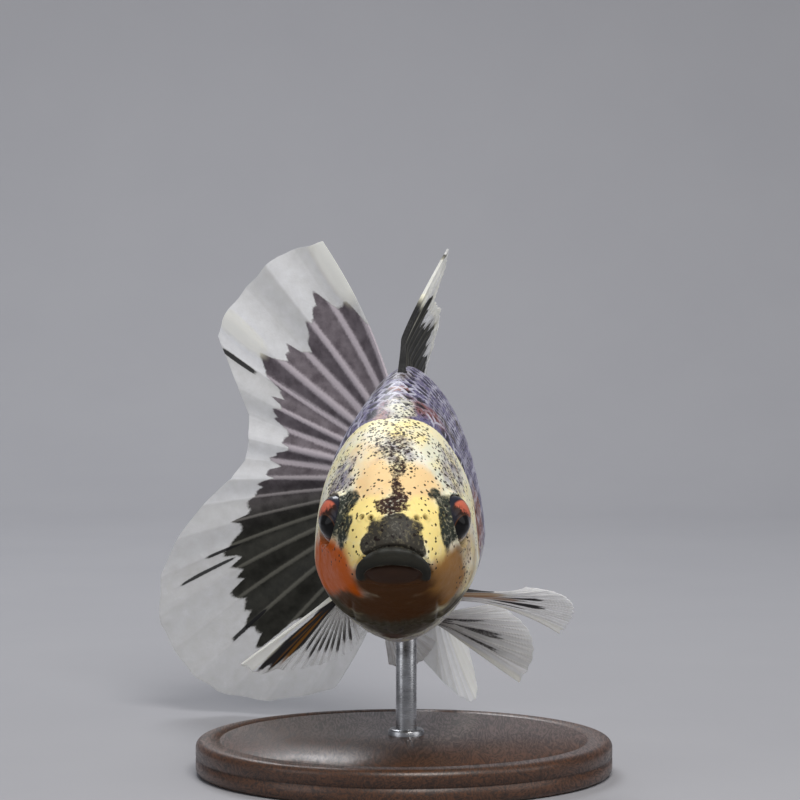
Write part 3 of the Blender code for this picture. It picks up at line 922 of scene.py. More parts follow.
@dataclass
class ScaleCoat:
    """Overlapping scales over the trunk and the tail stalk, one mesh for each side."""

    form: BodyForm
    skin: Skin
    markings: Markings
    along: int = 31
    rows: int = 18
    across_steps: int = 9
    length_steps: int = 9
    shoulder: float = 24.0
    under_neck: float = 1.2
    last_station: float = 87.5
    closing_up: float = 0.36
    overlap: float = 2.05
    half_width: float = 1.06
    lift_at_root: float = -0.16
    lift_at_tip: float = 0.2
    crown: float = 0.1
    thickness: float = 0.07
    patch: float = 0.003
    table_step: float = 0.5

    def __post_init__(self) -> None:
        """Tabulate the angle at even shares of the way round the body."""
        self.table_stations = np.arange(10.0, 92.0, self.table_step)
        angle = np.radians(np.linspace(-90.0, 270.0, 721))
        self.shares = np.linspace(0.0, 1.0, 401)
        rows = []
        for station in self.table_stations:
            side, up = self.form.section(np.full(angle.shape, station), angle)
            path = np.concatenate([[0.0], np.cumsum(np.hypot(np.diff(side), np.diff(up)))])
            rows.append(np.interp(self.shares * path[-1], path, angle))
        self.table = np.array(rows)

    def angle_at(self, station: Array, share: Array) -> Array:
        """Angle at a share of the way round from the belly by the left side.

        Args:
            station: Station of each point.
            share: Share of the way round, which may run past 0 or 1.

        Returns:
            The angle of each point.
        """
        turns = np.floor(share)
        column = (share - turns) * (len(self.shares) - 1)
        row = (station - self.table_stations[0]) / self.table_step
        row = np.clip(row, 0, len(self.table) - 1.001)
        i = row.astype(int)
        j = np.minimum(column.astype(int), len(self.shares) - 2)
        a = row - i
        b = column - j
        near = self.table[i, j] * (1 - b) + self.table[i, j + 1] * b
        far = self.table[i + 1, j] * (1 - b) + self.table[i + 1, j + 1] * b
        return near * (1 - a) + far * a + 2.0 * math.pi * turns

    def roots(self, flank: Flank) -> tuple[Array, Array, Array]:
        """Where the scales of one side are rooted, closing up towards the tail.

        Args:
            flank: Which side.

        Returns:
            For each scale its root's station, its share of the way round and the
            distance to the next scale.
        """
        column, row = np.meshgrid(np.arange(self.along), np.arange(self.rows), indexing="ij")
        column = column.ravel()
        row = row.ravel()
        share = 0.5 * (row + 0.5) / self.rows
        if flank is Flank.RIGHT:
            share = 1.0 - share
        run = (column + 0.5 * (row % 2)) / self.along
        start = self.form.neck(self.angle_at(np.full(run.shape, self.shoulder), share))
        start = start - self.under_neck
        span = self.last_station - start
        whole = 1.0 - 0.5 * self.closing_up
        root = start + span * (run - 0.5 * self.closing_up * run ** 2) / whole
        pitch = span / self.along * (1.0 - self.closing_up * run) / whole
        return root, share, pitch

    def piece(self, flank: Flank) -> Piece:
        """All the scales of one side as one mesh.

        Args:
            flank: Which side.

        Returns:
            The piece, with the markings of the skin beneath.
        """
        root, share, pitch = self.roots(flank)
        count = len(root)
        chance = np.random.default_rng(40 + flank.value).uniform(size=(3, count))
        u = np.linspace(0.0, 1.0, self.length_steps)
        v = np.linspace(-1.0, 1.0, self.across_steps)
        u, v = np.meshgrid(u, v, indexing="ij")
        reach = pitch * self.overlap * (1.0 + 0.06 * (chance[0] - 0.5))
        tip = 1.0 - 0.36 * np.abs(v) ** 2.2
        station = root[:, None, None] + reach[:, None, None] * u * tip
        half = self.half_width * 0.5 / self.rows
        shift = 0.05 * (chance[1] - 0.5) / self.rows
        around = share[:, None, None] + half * v * (0.86 + 0.14 * np.sin(u * 2.4))
        around = around + shift[:, None, None]
        angle = self.angle_at(station, around)
        smooth = self.form.surface(station, angle)
        out = self.form.outward(station, angle)
        height = self.lift_at_root + (self.lift_at_tip - self.lift_at_root) * u ** 1.1
        height = height + self.crown * (1.0 - v ** 2) * u
        height = height + 0.03 * (chance[2] - 0.5)[:, None, None] * u
        small = np.clip(reach / 4.0, 0.45, 1.0)[:, None, None]
        top = smooth + out * (height * small)[..., None]
        under = top - out * (self.thickness * small)[..., None]
        faces, corners = sheet_faces(*u.shape)
        faces = np.array(faces)
        per = 2 * u.size
        places = np.stack([top, under], 1).reshape(count, per, 3)
        faces = faces[None] + (np.arange(count) * per)[:, None, None]
        flat_root = self.skin.unwrap(root, np.mod(self.angle_at(root, share), 2.0 * math.pi))
        local = (corners[..., 1:] / np.array(u.shape) - 0.5) * self.patch
        flat = flat_root[:, None, None] + local[None]
        side, up = self.form.section(station, angle)
        values = self.markings.fields(np.stack([station, side, up], -1), angle)
        values["scale_run"] = np.broadcast_to(u, station.shape)
        values["scale_across"] = np.broadcast_to(v, station.shape)
        values["scale_luck"] = np.broadcast_to(chance[0][:, None, None], station.shape)
        fields = {label: np.stack([x, x], 1).ravel() for label, x in values.items()}
        name = "scales_" + flank.name.lower()
        return Piece(name, "calico_scales", places, faces.reshape(-1, 4).tolist(),
                     flat.reshape(-1, 2), fields)


# --- fins

@dataclass(frozen=True)
class Streak:
    """Mark on a fin, placed by its share across the rays and out along them.

    A flare of 0 keeps it even; towards 1 it tapers to the root and widens to the margin.
    """

    across: float
    run: float
    wide: float
    long: float
    strength: float = 1.0
    flare: float = 0.0

    def on(self, across: Array, run: Array) -> Array:
        """How strongly the mark shows.

        Args:
            across: Share across the fin of each point.
            run: Share of the way to the margin.

        Returns:
            Its strength within the mark, and 0 outside.
        """
        along = (run - self.run) / self.long
        wide = self.wide * (1.0 + self.flare * np.clip(along, -0.95, 1.0))
        beside = (across - self.across) / wide
        away = (np.abs(along) ** 3 + np.abs(beside) ** 3) ** (1.0 / 3.0)
        return self.strength * (1.0 - rise(0.65, 1.1, away))


def strongest(streaks: tuple[Streak, ...], across: Array, run: Array) -> Array:
    """How strongly marks show on a fin, 0 where there are none."""
    return np.max([np.zeros(run.shape)] + [streak.on(across, run) for streak in streaks], axis=0)


@dataclass
class Fin:
    """Thin webbed fan of bony rays that branch on their way to the margin.

    Every fin gives its middle sheet by its share across (0 at the first ray) and its
    run (0 at the root and 1 at the margin).
    """

    name: str
    form: BodyForm
    rays: int
    replaced: tuple[str, ...]
    slot: str = "fin_white"
    columns_per_ray: int = 16
    rows: int = 64
    root_half: float = 0.42
    spine: float = 0.0
    web_half: float = 0.07
    ray_half: float = 0.17
    ray_width: float = 0.26
    ray_share: float = 0.24
    ray_girth: Stops = ((0.0, 1.0), (1.0, 1.0))
    pleat: float = 0.05
    branch_from: float = 0.5
    first_fork: float = 0.22
    second_fork: float = 0.1
    fray: float = 0.02
    chips: float = 0.0
    cut: Stops = ((0.0, 1.0), (1.0, 1.0))
    bare_margin: float = 0.0
    dark_to: Stops = ((0.0, 0.0), (1.0, 0.0))
    dark_scatter: float = 0.06
    sheer: Stops = ((0.0, 0.6), (1.0, 0.6))
    sooty: Stops = ((0.0, 0.5), (1.0, 0.5))
    darks: tuple[Streak, ...] = ()
    warms: tuple[Streak, ...] = ()
    pales: tuple[Streak, ...] = ()
    # Whiteness of the web between each pair of rays: partly its own milky white, partly painted shade of
    # the folds, lighter and darker in turn.
    web_whiteness_and_shade: tuple[float, ...] = ()
    seed: int = 1

    def middle(self, across: Array, run: Array) -> tuple[Array, Array, Array]:
        """Station, side and up of the fin's middle sheet."""
        raise NotImplementedError

    def bones(self, across: Array, run: Array, spacing: Array) -> Array:
        """1 along the rays and their branches, 0 on the web between.

        Args:
            across: Share across the fin.
            run: Share of the way to the margin.
            spacing: Millimetres between neighbouring rays there.

        Returns:
            One value for each point.
        """
        count = across * self.rays
        nearest = np.round(count)
        inner = (nearest > 0.5) & (nearest < self.rays - 0.5)
        off = np.abs(count - nearest)
        first = inner * self.first_fork * rise(self.branch_from, self.branch_from + 0.45, run)
        second = inner * self.second_fork * rise(self.branch_from + 0.25, 1.05, run)
        away = np.abs(np.abs(off - first) - second) * spacing
        width = np.minimum(self.ray_width * (1.0 - 0.6 * run ** 2), self.ray_share * spacing)
        width = width * ease_through(across, self.ray_girth)
        return np.exp(-(away / (width * np.where(inner, 1.0, 1.5))) ** 2)

    def margin_cut(self, across: Array) -> Array:
        """How far the fin reaches to its frayed margin.

        Args:
            across: Share across the fin.

        Returns:
            Share of the full reach that is left.
        """
        luck = np.random.default_rng(self.seed)
        count = across * self.rays
        scallop = np.sin(math.pi * count) ** 2
        stops = np.arange(self.rays + 1)
        depth = np.interp(count, stops, luck.uniform(0.2, 1.0, len(stops)))
        chip = luck.uniform(0.0, 1.0, self.rays * 4 + 4)[(count * 4.0).astype(int)]
        return ease_through(across, self.cut) - self.fray * scallop * depth - self.chips * chip

    def uneven(self, across: Array, per_ray: int, seed: int) -> Array:
        """Uneven line along the margin.

        Args:
            across: Share across the fin.
            per_ray: How many knots the line has for each ray.
            seed: Which line.

        Returns:
            A number from -1 to 1 for each point.
        """
        knots = np.arange(self.rays * per_ray + 1)
        luck = np.random.default_rng(self.seed * 10 + seed)
        return np.interp(across * self.rays * per_ray, knots, luck.uniform(-1.0, 1.0, len(knots)))

    def milkiness_and_pleat_shade(self, across: Array) -> Array:
        """How white the web is between each ray and the next: partly its own milky white and partly painted
        shade of the fan's folds, lighter and darker in turn, each web shading off across its width.

        Args:
            across: Share across the fin.

        Returns:
            A number from 0 to 1 for each point.
        """
        luck = np.random.default_rng(self.seed + 200)
        levels = np.array(self.web_whiteness_and_shade or luck.uniform(0.2, 0.9, self.rays))
        fold = np.minimum((across * self.rays).astype(int), self.rays - 1)
        within = across * self.rays - fold
        nexts = levels[np.minimum(fold + 1, self.rays - 1)]
        level = levels[fold] + (nexts - levels[fold]) * rise(0.88, 1.0, within)
        # Painted fold shade: each web shades off across its width.
        return level * (1.0 - 0.4 * rise(0.1, 0.9, within) * (1.0 - rise(0.88, 1.0, within)))

    def pigments(self, across: Array, run: Array) -> dict[str, Array]:
        """Fields of the fin's pigments, of how milky its web is with the painted shade of its folds, and of
        how sheer it is.

        Args:
            across: Share across the fin.
            run: Share of the way to the margin.

        Returns:
            One named array for each.
        """
        ragged = self.dark_scatter * (0.6 * self.uneven(across, 1, 1)
                                      + 0.8 * self.uneven(across, 3, 2)
                                      + 0.7 * self.uneven(across, 6, 3))
        end = ease_through(across, self.dark_to) + ragged
        dark = 1.0 - rise(-0.02, 0.03, run - end)
        return {"dark": dark, "ink": strongest(self.darks, across, run + ragged),
                "warm": strongest(self.warms, across, run + ragged),
                "pale": strongest(self.pales, across, run),
                "web_milk_and_pleat_shade": self.milkiness_and_pleat_shade(across),
                "sheer": ease_through(across, self.sheer) * run ** 0.3,
                "sooty": ease_through(across, self.sooty)}

    def piece(self) -> Piece:
        """The fin's mesh: a closed thin sheet with raised rays.

        Returns:
            The piece, with the fields of its markings.
        """
        columns = self.rays * self.columns_per_ray + 1
        across, run = np.meshgrid(np.linspace(0.0, 1.0, columns),
                                  np.linspace(0.0, 1.0, self.rows), indexing="xy")
        reached = run * self.margin_cut(across)
        station, side, up = self.middle(across, reached)
        flat = self.form.backbone.place(station, side, up)
        normal = grid_normals(flat, closed=False)
        spacing = np.linalg.norm(np.gradient(flat, axis=1), axis=-1) * self.columns_per_ray
        wave = -np.cos(math.pi * across * self.rays) * self.pleat * run ** 0.8
        slow = 0.5 * wobble(np.stack([across * 6.0, run * 3.0, 0 * run], -1), 6.0, self.seed)
        middle = flat + normal * (wave + slow * run ** 2 * self.pleat)[..., None]
        normal = grid_normals(middle, closed=False)
        fields = self.pigments(across, run)
        bare = self.bare_margin * (1.0 - fields["dark"])
        bone = self.bones(across, run, spacing) * (1.0 - bare)
        web = self.web_half + (self.root_half - self.web_half) * (1.0 - rise(0.0, 0.3, run))
        half = web + np.minimum(self.ray_half * (1.0 - 0.6 * run), 0.1 * spacing) * bone
        half = half + self.spine * hump(across * self.rays, 0.45) * (1.0 - 0.8 * run)
        places = np.stack([middle + normal * half[..., None], middle - normal * half[..., None]])
        faces, corners = sheet_faces(*across.shape)
        unwrap = corners[..., 1:] / np.array(across.shape) * (0.97, 0.47) + (0.01, 0.01)
        unwrap[..., 1] += 0.5 * corners[..., 0]
        fields.update(run=run, bone=bone)
        doubled = {label: np.stack([x, x]).ravel() for label, x in fields.items()}
        return Piece(self.name, self.slot, places, faces, unwrap.reshape(-1, 2), doubled)


@dataclass
class FanFin(Fin):
    """Fin that fans out between a bowed root and a bowed margin."""

    root: tuple[Triple, Triple, Triple] = ((0.0, 0.0, 0.0),) * 3
    margin: tuple[Triple, Triple, Triple] = ((0.0, 0.0, 0.0),) * 3
    curl: float = 1.0
    bend_from: float = 0.0
    waist: float = 1.0

    def middle(self, across: Array, run: Array) -> tuple[Array, Array, Array]:
        """Station, side and up of the middle sheet.

        Args:
            across: Share across the fin.
            run: Share of the way to the margin.

        Returns:
            One value of each for each point.
        """
        share = across[..., None]
        weights = np.concatenate([(1 - share) ** 2, 2 * share * (1 - share), share ** 2], -1)
        halfway = np.array((0.25, 0.5, 0.25))
        foot_line = halfway @ np.array(self.root)
        tip_line = halfway @ np.array(self.margin)
        foot = weights @ np.array(self.root)
        tip = weights @ np.array(self.margin)
        out = run[..., None]
        spot = foot_line + (tip_line - foot_line) * out + (foot - foot_line) * (1.0 - out)
        spot = spot + (tip - tip_line) * out ** self.waist
        leaned = np.maximum(run - self.bend_from, 0.0) / (1.0 - self.bend_from)
        lag = leaned ** self.curl - run
        return spot[..., 0], spot[..., 1] + (tip - foot)[..., 1] * lag, spot[..., 2]


@dataclass
class TailFan(Fin):
    """The whole forked tail fin, between two angles above level."""

    lowest: float = -73.0
    highest: float = 67.0
    reach: Stops = ((-73.0, 35.5), (-60.0, 42.7), (-50.0, 47.3), (-41.0, 48.3), (-33.0, 47.6),
                    (-24.0, 44.2), (-14.0, 37.0), (-3.0, 29.2), (3.0, 27.3), (10.0, 27.0),
                    (18.0, 28.3), (25.0, 31.8), (30.0, 36.0), (33.0, 38.8), (37.0, 39.8),
                    (44.0, 40.4), (56.0, 41.6), (62.0, 40.9), (67.0, 40.3))
    root_station: float = 87.0
    root_half_height: float = 5.6
    bow: float = 2.4
    gather: float = 0.34

    def middle(self, across: Array, run: Array) -> tuple[Array, Array, Array]:
        """Station, side and up of the middle sheet.

        Args:
            across: Share across the fin.
            run: Share of the way to the margin.

        Returns:
            One value of each for each point.
        """
        degrees = self.lowest + (self.highest - self.lowest) * across
        angle = np.radians(degrees)
        foot_up = (2.0 * across - 1.0) * self.root_half_height
        reach = np.interp(degrees, *np.array(self.reach).T)
        tip_back = np.cos(angle) * reach + self.form.length - self.root_station
        tip_up = np.sin(angle) * reach
        outer = (2.0 * across - 1.0) ** 4
        up = foot_up * (1.0 - run) + tip_up * run ** (1.0 + self.gather * (1.0 - outer))
        up = up + np.sin(angle) * self.bow * outer * np.sin(math.pi * run)
        return self.root_station + tip_back * run, np.zeros(run.shape), up


def make_fins(form: BodyForm) -> list[Fin]:
    """All seven fins, with their sizes and their markings.

    Args:
        form: The smooth body that they stand on.

    Returns:
        The fins, the tail fin last.
    """
    comb = tuple(Streak((k + 4) / 13.0, 0.5, 0.011, 0.34, 0.9, 0.5) for k in range(8))
    return [
        FanFin("dorsal_fan", form, 12, ("dorsal_fin",), curl=1.15, seed=2, chips=0.03, spine=0.2,
               bend_from=0.34, root_half=0.36,
               root=((38.0, 0.0, 19.4), (52.0, 0.0, 20.0), (66.0, 0.0, 13.8)),
               margin=((50.0, 5.9, 39.1), (53.0, 4.4, 24.5), (70.5, -1.3, 19.6)),
               cut=((0.0, 1.0), (0.07, 1.0), (0.18, 0.85), (0.42, 1.0), (1.0, 0.96)),
               dark_to=((0.0, 0.62), (0.08, 0.66), (0.14, 0.8), (0.45, 0.78), (1.0, 0.5)),
               dark_scatter=0.12, sooty=((0.0, 0.0), (1.0, 0.0)),
               sheer=((0.0, 0.1), (0.08, 0.3), (0.2, 0.85), (0.45, 0.45), (1.0, 0.5)),
               darks=(Streak(0.0, 0.28, 0.08, 0.42), Streak(0.0, 0.985, 0.03, 0.02)),
               pales=(Streak(0.03, 0.78, 0.07, 0.17), Streak(0.1, 0.4, 0.012, 0.3, 0.5),
                      Streak(0.5, 0.98, 0.5, 0.1, 0.7))),
        FanFin("anal_fan", form, 7, ("anal_fin",), curl=1.6, columns_per_ray=20, seed=3,
               pleat=0.03, ray_half=0.1,
               root=((65.0, 0.0, -9.8), (69.0, 0.0, -8.6), (73.0, 0.0, -7.2)),
               margin=((72.0, -1.2, -25.2), (78.0, 11.6, -41.0), (81.0, 7.6, -24.5)),
               sheer=((0.0, 0.4), (0.6, 0.15), (1.0, 0.1)), pales=(Streak(0.8, 0.8, 0.3, 0.5, 0.6),),
               web_whiteness_and_shade=(0.6, 0.8, 0.9, 0.8, 1.0, 0.9, 1.0), darks=(Streak(0.6, 0.3, 0.07, 0.2, 0.8),)),
        FanFin("pectoral_fan_right", form, 13, ("pectoral_fin_right",), seed=4, columns_per_ray=16,
               root=((24.0, -8.2, -7.8), (25.0, -7.6, -9.2), (26.5, -6.6, -10.2)),
               margin=((30.0, -22.2, -18.9), (33.5, -12.0, -26.0), (37.0, -4.6, -15.5)),
               sheer=((0.0, 0.0), (0.16, 0.2), (0.28, 1.0), (1.0, 1.0)), sooty=((0.0, 0.0), (1.0, 0.0)),
               cut=((0.0, 1.0), (0.12, 1.0), (0.22, 0.88), (0.5, 0.82), (1.0, 0.95)),
               pleat=0.05, ray_width=0.14, branch_from=1.0, web_whiteness_and_shade=(0.9, 0.6) + (0.0,) * 11, spine=0.2,
               pales=(Streak(0.0, 0.55, 0.035, 0.8), Streak(0.035, 0.88, 0.05, 0.3)),
               darks=(Streak(0.13, 0.1, 0.13, 0.26), Streak(0.125, 0.52, 0.07, 0.5),
                      Streak(0.2, 0.4, 0.05, 0.44)) + comb,
               warms=(Streak(0.1, 0.36, 0.018, 0.2, 0.8), Streak(0.19, 0.52, 0.018, 0.4, 0.8),
                      Streak(0.15, 0.62, 0.008, 0.3, 0.6))),
        FanFin("pectoral_fan_left", form, 13, ("pectoral_fin_left",), seed=5, waist=1.9,
               root_half=0.26, pleat=0.04, ray_half=0.12,
               root=((24.0, 8.9, -7.2), (25.0, 8.4, -7.9), (26.5, 7.4, -8.9)),
               margin=((29.5, 17.9, -7.6), (33.5, 28.4, -9.1), (38.0, 22.5, -15.5)),
               sheer=((0.0, 0.15), (1.0, 0.15)),
               pales=(Streak(1.0, 0.75, 0.08, 0.5), Streak(0.3, 0.2, 0.14, 0.34, 0.35)),
               web_whiteness_and_shade=(0.9, 1.0, 0.85, 1.0, 0.8, 1.0, 0.9, 0.75, 1.0, 0.9, 0.8, 1.0, 1.0),
               darks=(Streak(0.0, 0.12, 0.05, 0.28), Streak(0.49, 0.56, 0.045, 0.24, 1.0, 0.8),
                      Streak(0.73, 0.54, 0.045, 0.26, 1.0, 0.7), Streak(0.6, 0.5, 0.012, 0.18, 0.7),
                      Streak(0.87, 0.44, 0.02, 0.2, 0.8), Streak(0.36, 0.44, 0.012, 0.2, 0.7)),
               warms=(Streak(0.34, 0.14, 0.28, 0.3), Streak(0.6, 0.36, 0.1, 0.22, 0.6))),
        FanFin("pelvic_fan_right", form, 8, ("pelvic_fin_right",), curl=1.2, seed=6,
               pleat=0.03, ray_half=0.1,
               root=((42.0, -3.2, -14.2), (44.5, -3.0, -14.4), (47.0, -2.6, -14.2)),
               margin=((57.0, -4.5, -23.5), (62.5, -0.5, -26.0), (60.0, 2.2, -20.4)),
               darks=(Streak(0.3, 0.2, 0.4, 0.24, 0.9),), sheer=((0.0, 0.5), (1.0, 0.4))),
        FanFin("pelvic_fan_left", form, 8, ("pelvic_fin_left",), curl=1.1, seed=7,
               pleat=0.025, ray_half=0.08, ray_width=0.2,
               root=((42.0, 3.6, -13.8), (44.5, 3.4, -14.2), (47.0, 2.8, -14.2)),
               margin=((48.0, 12.6, -12.7), (53.5, 21.2, -18.0), (54.5, 15.4, -25.4)),
               sheer=((0.0, 0.15), (0.6, 0.3), (1.0, 0.5)), dark_scatter=0.1,
               web_whiteness_and_shade=(1.0, 1.0, 0.9, 0.7, 0.5, 0.3, 0.3, 0.8), pales=(Streak(1.0, 0.7, 0.06, 0.4, 0.7),),
               darks=(Streak(0.34, 0.32, 0.06, 0.28, 0.62, 0.7), Streak(0.59, 0.42, 0.065, 0.28, 0.62, 0.7),
                      Streak(0.83, 0.5, 0.03, 0.34, 0.62, 0.4), Streak(0.5, 0.04, 0.6, 0.16, 0.7))),
        TailFan("tail_fan", form, 20, ("tail_fin_upper", "tail_fin_lower"), slot="fin_black",
                columns_per_ray=22, rows=88, pleat=0.5, seed=8, ray_width=0.55,
                ray_share=0.22, branch_from=0.72, fray=0.008, dark_scatter=0.04,
                ray_girth=((0.0, 0.75), (0.38, 0.85), (0.55, 1.5), (1.0, 1.45)),
                bare_margin=0.75,
                dark_to=((0.0, 0.16), (0.08, 0.24), (0.118, 0.5), (0.14, 0.62), (0.163, 0.79), (0.21, 0.77),
                         (0.28, 0.72), (0.37, 0.75), (0.475, 0.79), (0.56, 0.84), (0.63, 0.79),
                         (0.686, 0.8), (0.73, 0.75), (0.79, 0.75), (0.825, 0.72), (0.864, 0.7),
                         (0.9, 0.74), (0.935, 0.78), (0.955, 0.68), (0.975, 0.7), (1.0, 0.56)),
                darks=(Streak(0.742, 0.9, 0.006, 0.1, 0.9), Streak(0.322, 0.79, 0.004, 0.12, 0.9),
                       Streak(0.345, 0.77, 0.004, 0.08, 0.8), Streak(0.2, 0.77, 0.005, 0.09, 0.8)),
                pales=(Streak(1.0, 0.86, 0.035, 0.22, 0.9), Streak(0.79, 0.92, 0.02, 0.14, 0.8)),
                # Whiteness of each web, partly painted shade of the tail's folds.
                web_whiteness_and_shade=(0.2, 0.2, 0.2, 0.2, 0.2, 0.2, 0.2, 0.3, 0.4, 0.6, 0.9, 0.8, 0.95, 0.5, 0.45,
                      1.0, 0.8, 0.4, 0.75, 0.35),
                sooty=((0.35, 0.0), (0.6, 1.0)),
                sheer=((0.0, 0.75), (0.35, 0.62), (0.5, 0.5), (0.7, 0.4), (1.0, 0.5))),
    ]


# --- eyes

@dataclass
class Eye:
    """Domed eye with its iris, a ring of gold and a bulging lens behind clear gloss.

    It is turned further forward than the socket that it sits in.
    """

    flank: Flank
    radius: float = 3.5
    half_depth: float = 2.5
    forward: float = math.radians(30.0)
    downward: float = math.radians(8.0)
    pupil: float = 1.75
    pupil_ahead: float = 0.5
    pupil_up: float = -0.4
    bulge: float = 0.42
    rim: float = 2.95
    rim_groove: Ridge = Ridge(-0.06, 0.0, 0.16)
    pupil_groove: Ridge = Ridge(-0.05, 0.0, 0.14)
    rings: int = 64
    around: int = 96

    def piece(self, place: Array) -> Piece:
        """The eye's mesh about its place.

        Args:
            place: World place of the middle of the eye, in millimetres.

        Returns:
            The piece, with its distances from the pupil and from the middle, and its height.
        """
        polar = math.pi * (np.arange(self.rings) + 0.35) / (self.rings - 0.3)
        turn = 2.0 * math.pi * np.arange(self.around) / self.around
        polar, turn = np.meshgrid(polar, turn, indexing="ij")
        out = self.radius * np.sin(polar)
        across = out * np.cos(turn)
        high = out * np.sin(turn)
        sign = self.flank.value
        from_pupil = np.hypot(sign * across - self.pupil_ahead, high - self.pupil_up)
        lens = self.bulge * (1.0 - rise(self.pupil * 0.2, self.pupil * 1.15, from_pupil))
        groove = self.pupil_groove.on(from_pupil - self.pupil * 1.12)
        groove = groove + self.rim_groove.on(out - self.rim)
        in_front = polar < 0.5 * math.pi
        deep = self.half_depth * np.cos(polar)
        deep = np.where(in_front, deep + lens + groove, deep)
        level = math.cos(self.downward)
        gaze = np.array((sign * math.cos(self.forward) * level, -math.sin(self.forward) * level,
                         -math.sin(self.downward)))
        ahead = unit(np.cross((0.0, 0.0, 1.0), gaze)) * -sign
        up = np.cross(gaze, ahead) * -sign
        places = (place + gaze * deep[..., None] + ahead * across[..., None] * sign
                  + up * high[..., None])
        faces, corners = wrap_faces(self.rings, self.around)
        faces.append(list(range(self.around))[::-1])
        last = (self.rings - 1) * self.around
        faces.append([last + k for k in range(self.around)])
        reach = 0.48 * corners[..., 0] / self.rings
        spin = 2.0 * math.pi * corners[..., 1] / self.around
        unwrap = np.stack([0.5 + reach * np.cos(spin), 0.5 + reach * np.sin(spin)], -1)
        ends = [np.stack([0.5 + r * np.cos(turn[0]), 0.5 + r * np.sin(turn[0])], -1)
                for r in (0.002, 0.485)]
        fields = {"from_pupil": np.where(in_front, from_pupil, FAR_AWAY),
                  "from_middle": np.where(in_front, out, FAR_AWAY),
                  "high": high / self.radius, "ahead": sign * across / self.radius}
        return Piece("eye_" + self.flank.name.lower() + "_glass", "eye_black",
                     places, faces, np.concatenate([unwrap.reshape(-1, 2), *ends]), fields)


# --- stand

class Stuff(Enum):
    """What a piece of the stand is made of, named by its slot."""

    WOOD = "stand_dark_wood"
    STEEL = "stand_steel"


@dataclass
class Turning:
    """Piece turned about an upright axis from a profile of radius and height."""

    name: str
    stuff: Stuff
    profile: Stops
    nodes: tuple[str, ...] = ()
    around: int = 64

    def piece(self, foot: Array) -> Piece:
        """The turned mesh.

        Args:
            foot: World place of the axis at height 0, in millimetres.

        Returns:
            The piece, closed at both ends.
        """
        turn = 2.0 * math.pi * np.arange(self.around) / self.around
        radius = np.array([r for r, _ in self.profile])[:, None]
        height = np.array([h for _, h in self.profile])[:, None]
        places = foot + np.stack([radius * np.cos(turn), radius * np.sin(turn),
                                  height + 0.0 * turn], -1)
        faces, corners = wrap_faces(len(self.profile), self.around)
        faces = [face[::-1] for face in faces]
        corners = corners[:, ::-1]
        last = (len(self.profile) - 1) * self.around
        faces.append(list(range(self.around))[::-1])
        faces.append([last + k for k in range(self.around)])
        path = np.concatenate([[0.0], np.cumsum(np.hypot(np.diff(radius[:, 0]),
                                                         np.diff(height[:, 0])))])
        rows = 0.02 + 0.4 * path / path[-1]
        side_map = np.stack([corners[..., 1] / self.around * 0.98, rows[corners[..., 0]]], -1)
        discs = []
        for middle, order, r in ((0.25, -1, radius[0, 0]), (0.75, 1, radius[-1, 0])):
            size = 0.22 * r / radius.max()
            disc = np.stack([middle + size * np.cos(turn), 0.72 + size * np.sin(turn)], -1)
            discs.append(disc[::order])
        return Piece(self.name, self.stuff.value, places, faces,
                     np.concatenate([side_map.reshape(-1, 2), *discs]))


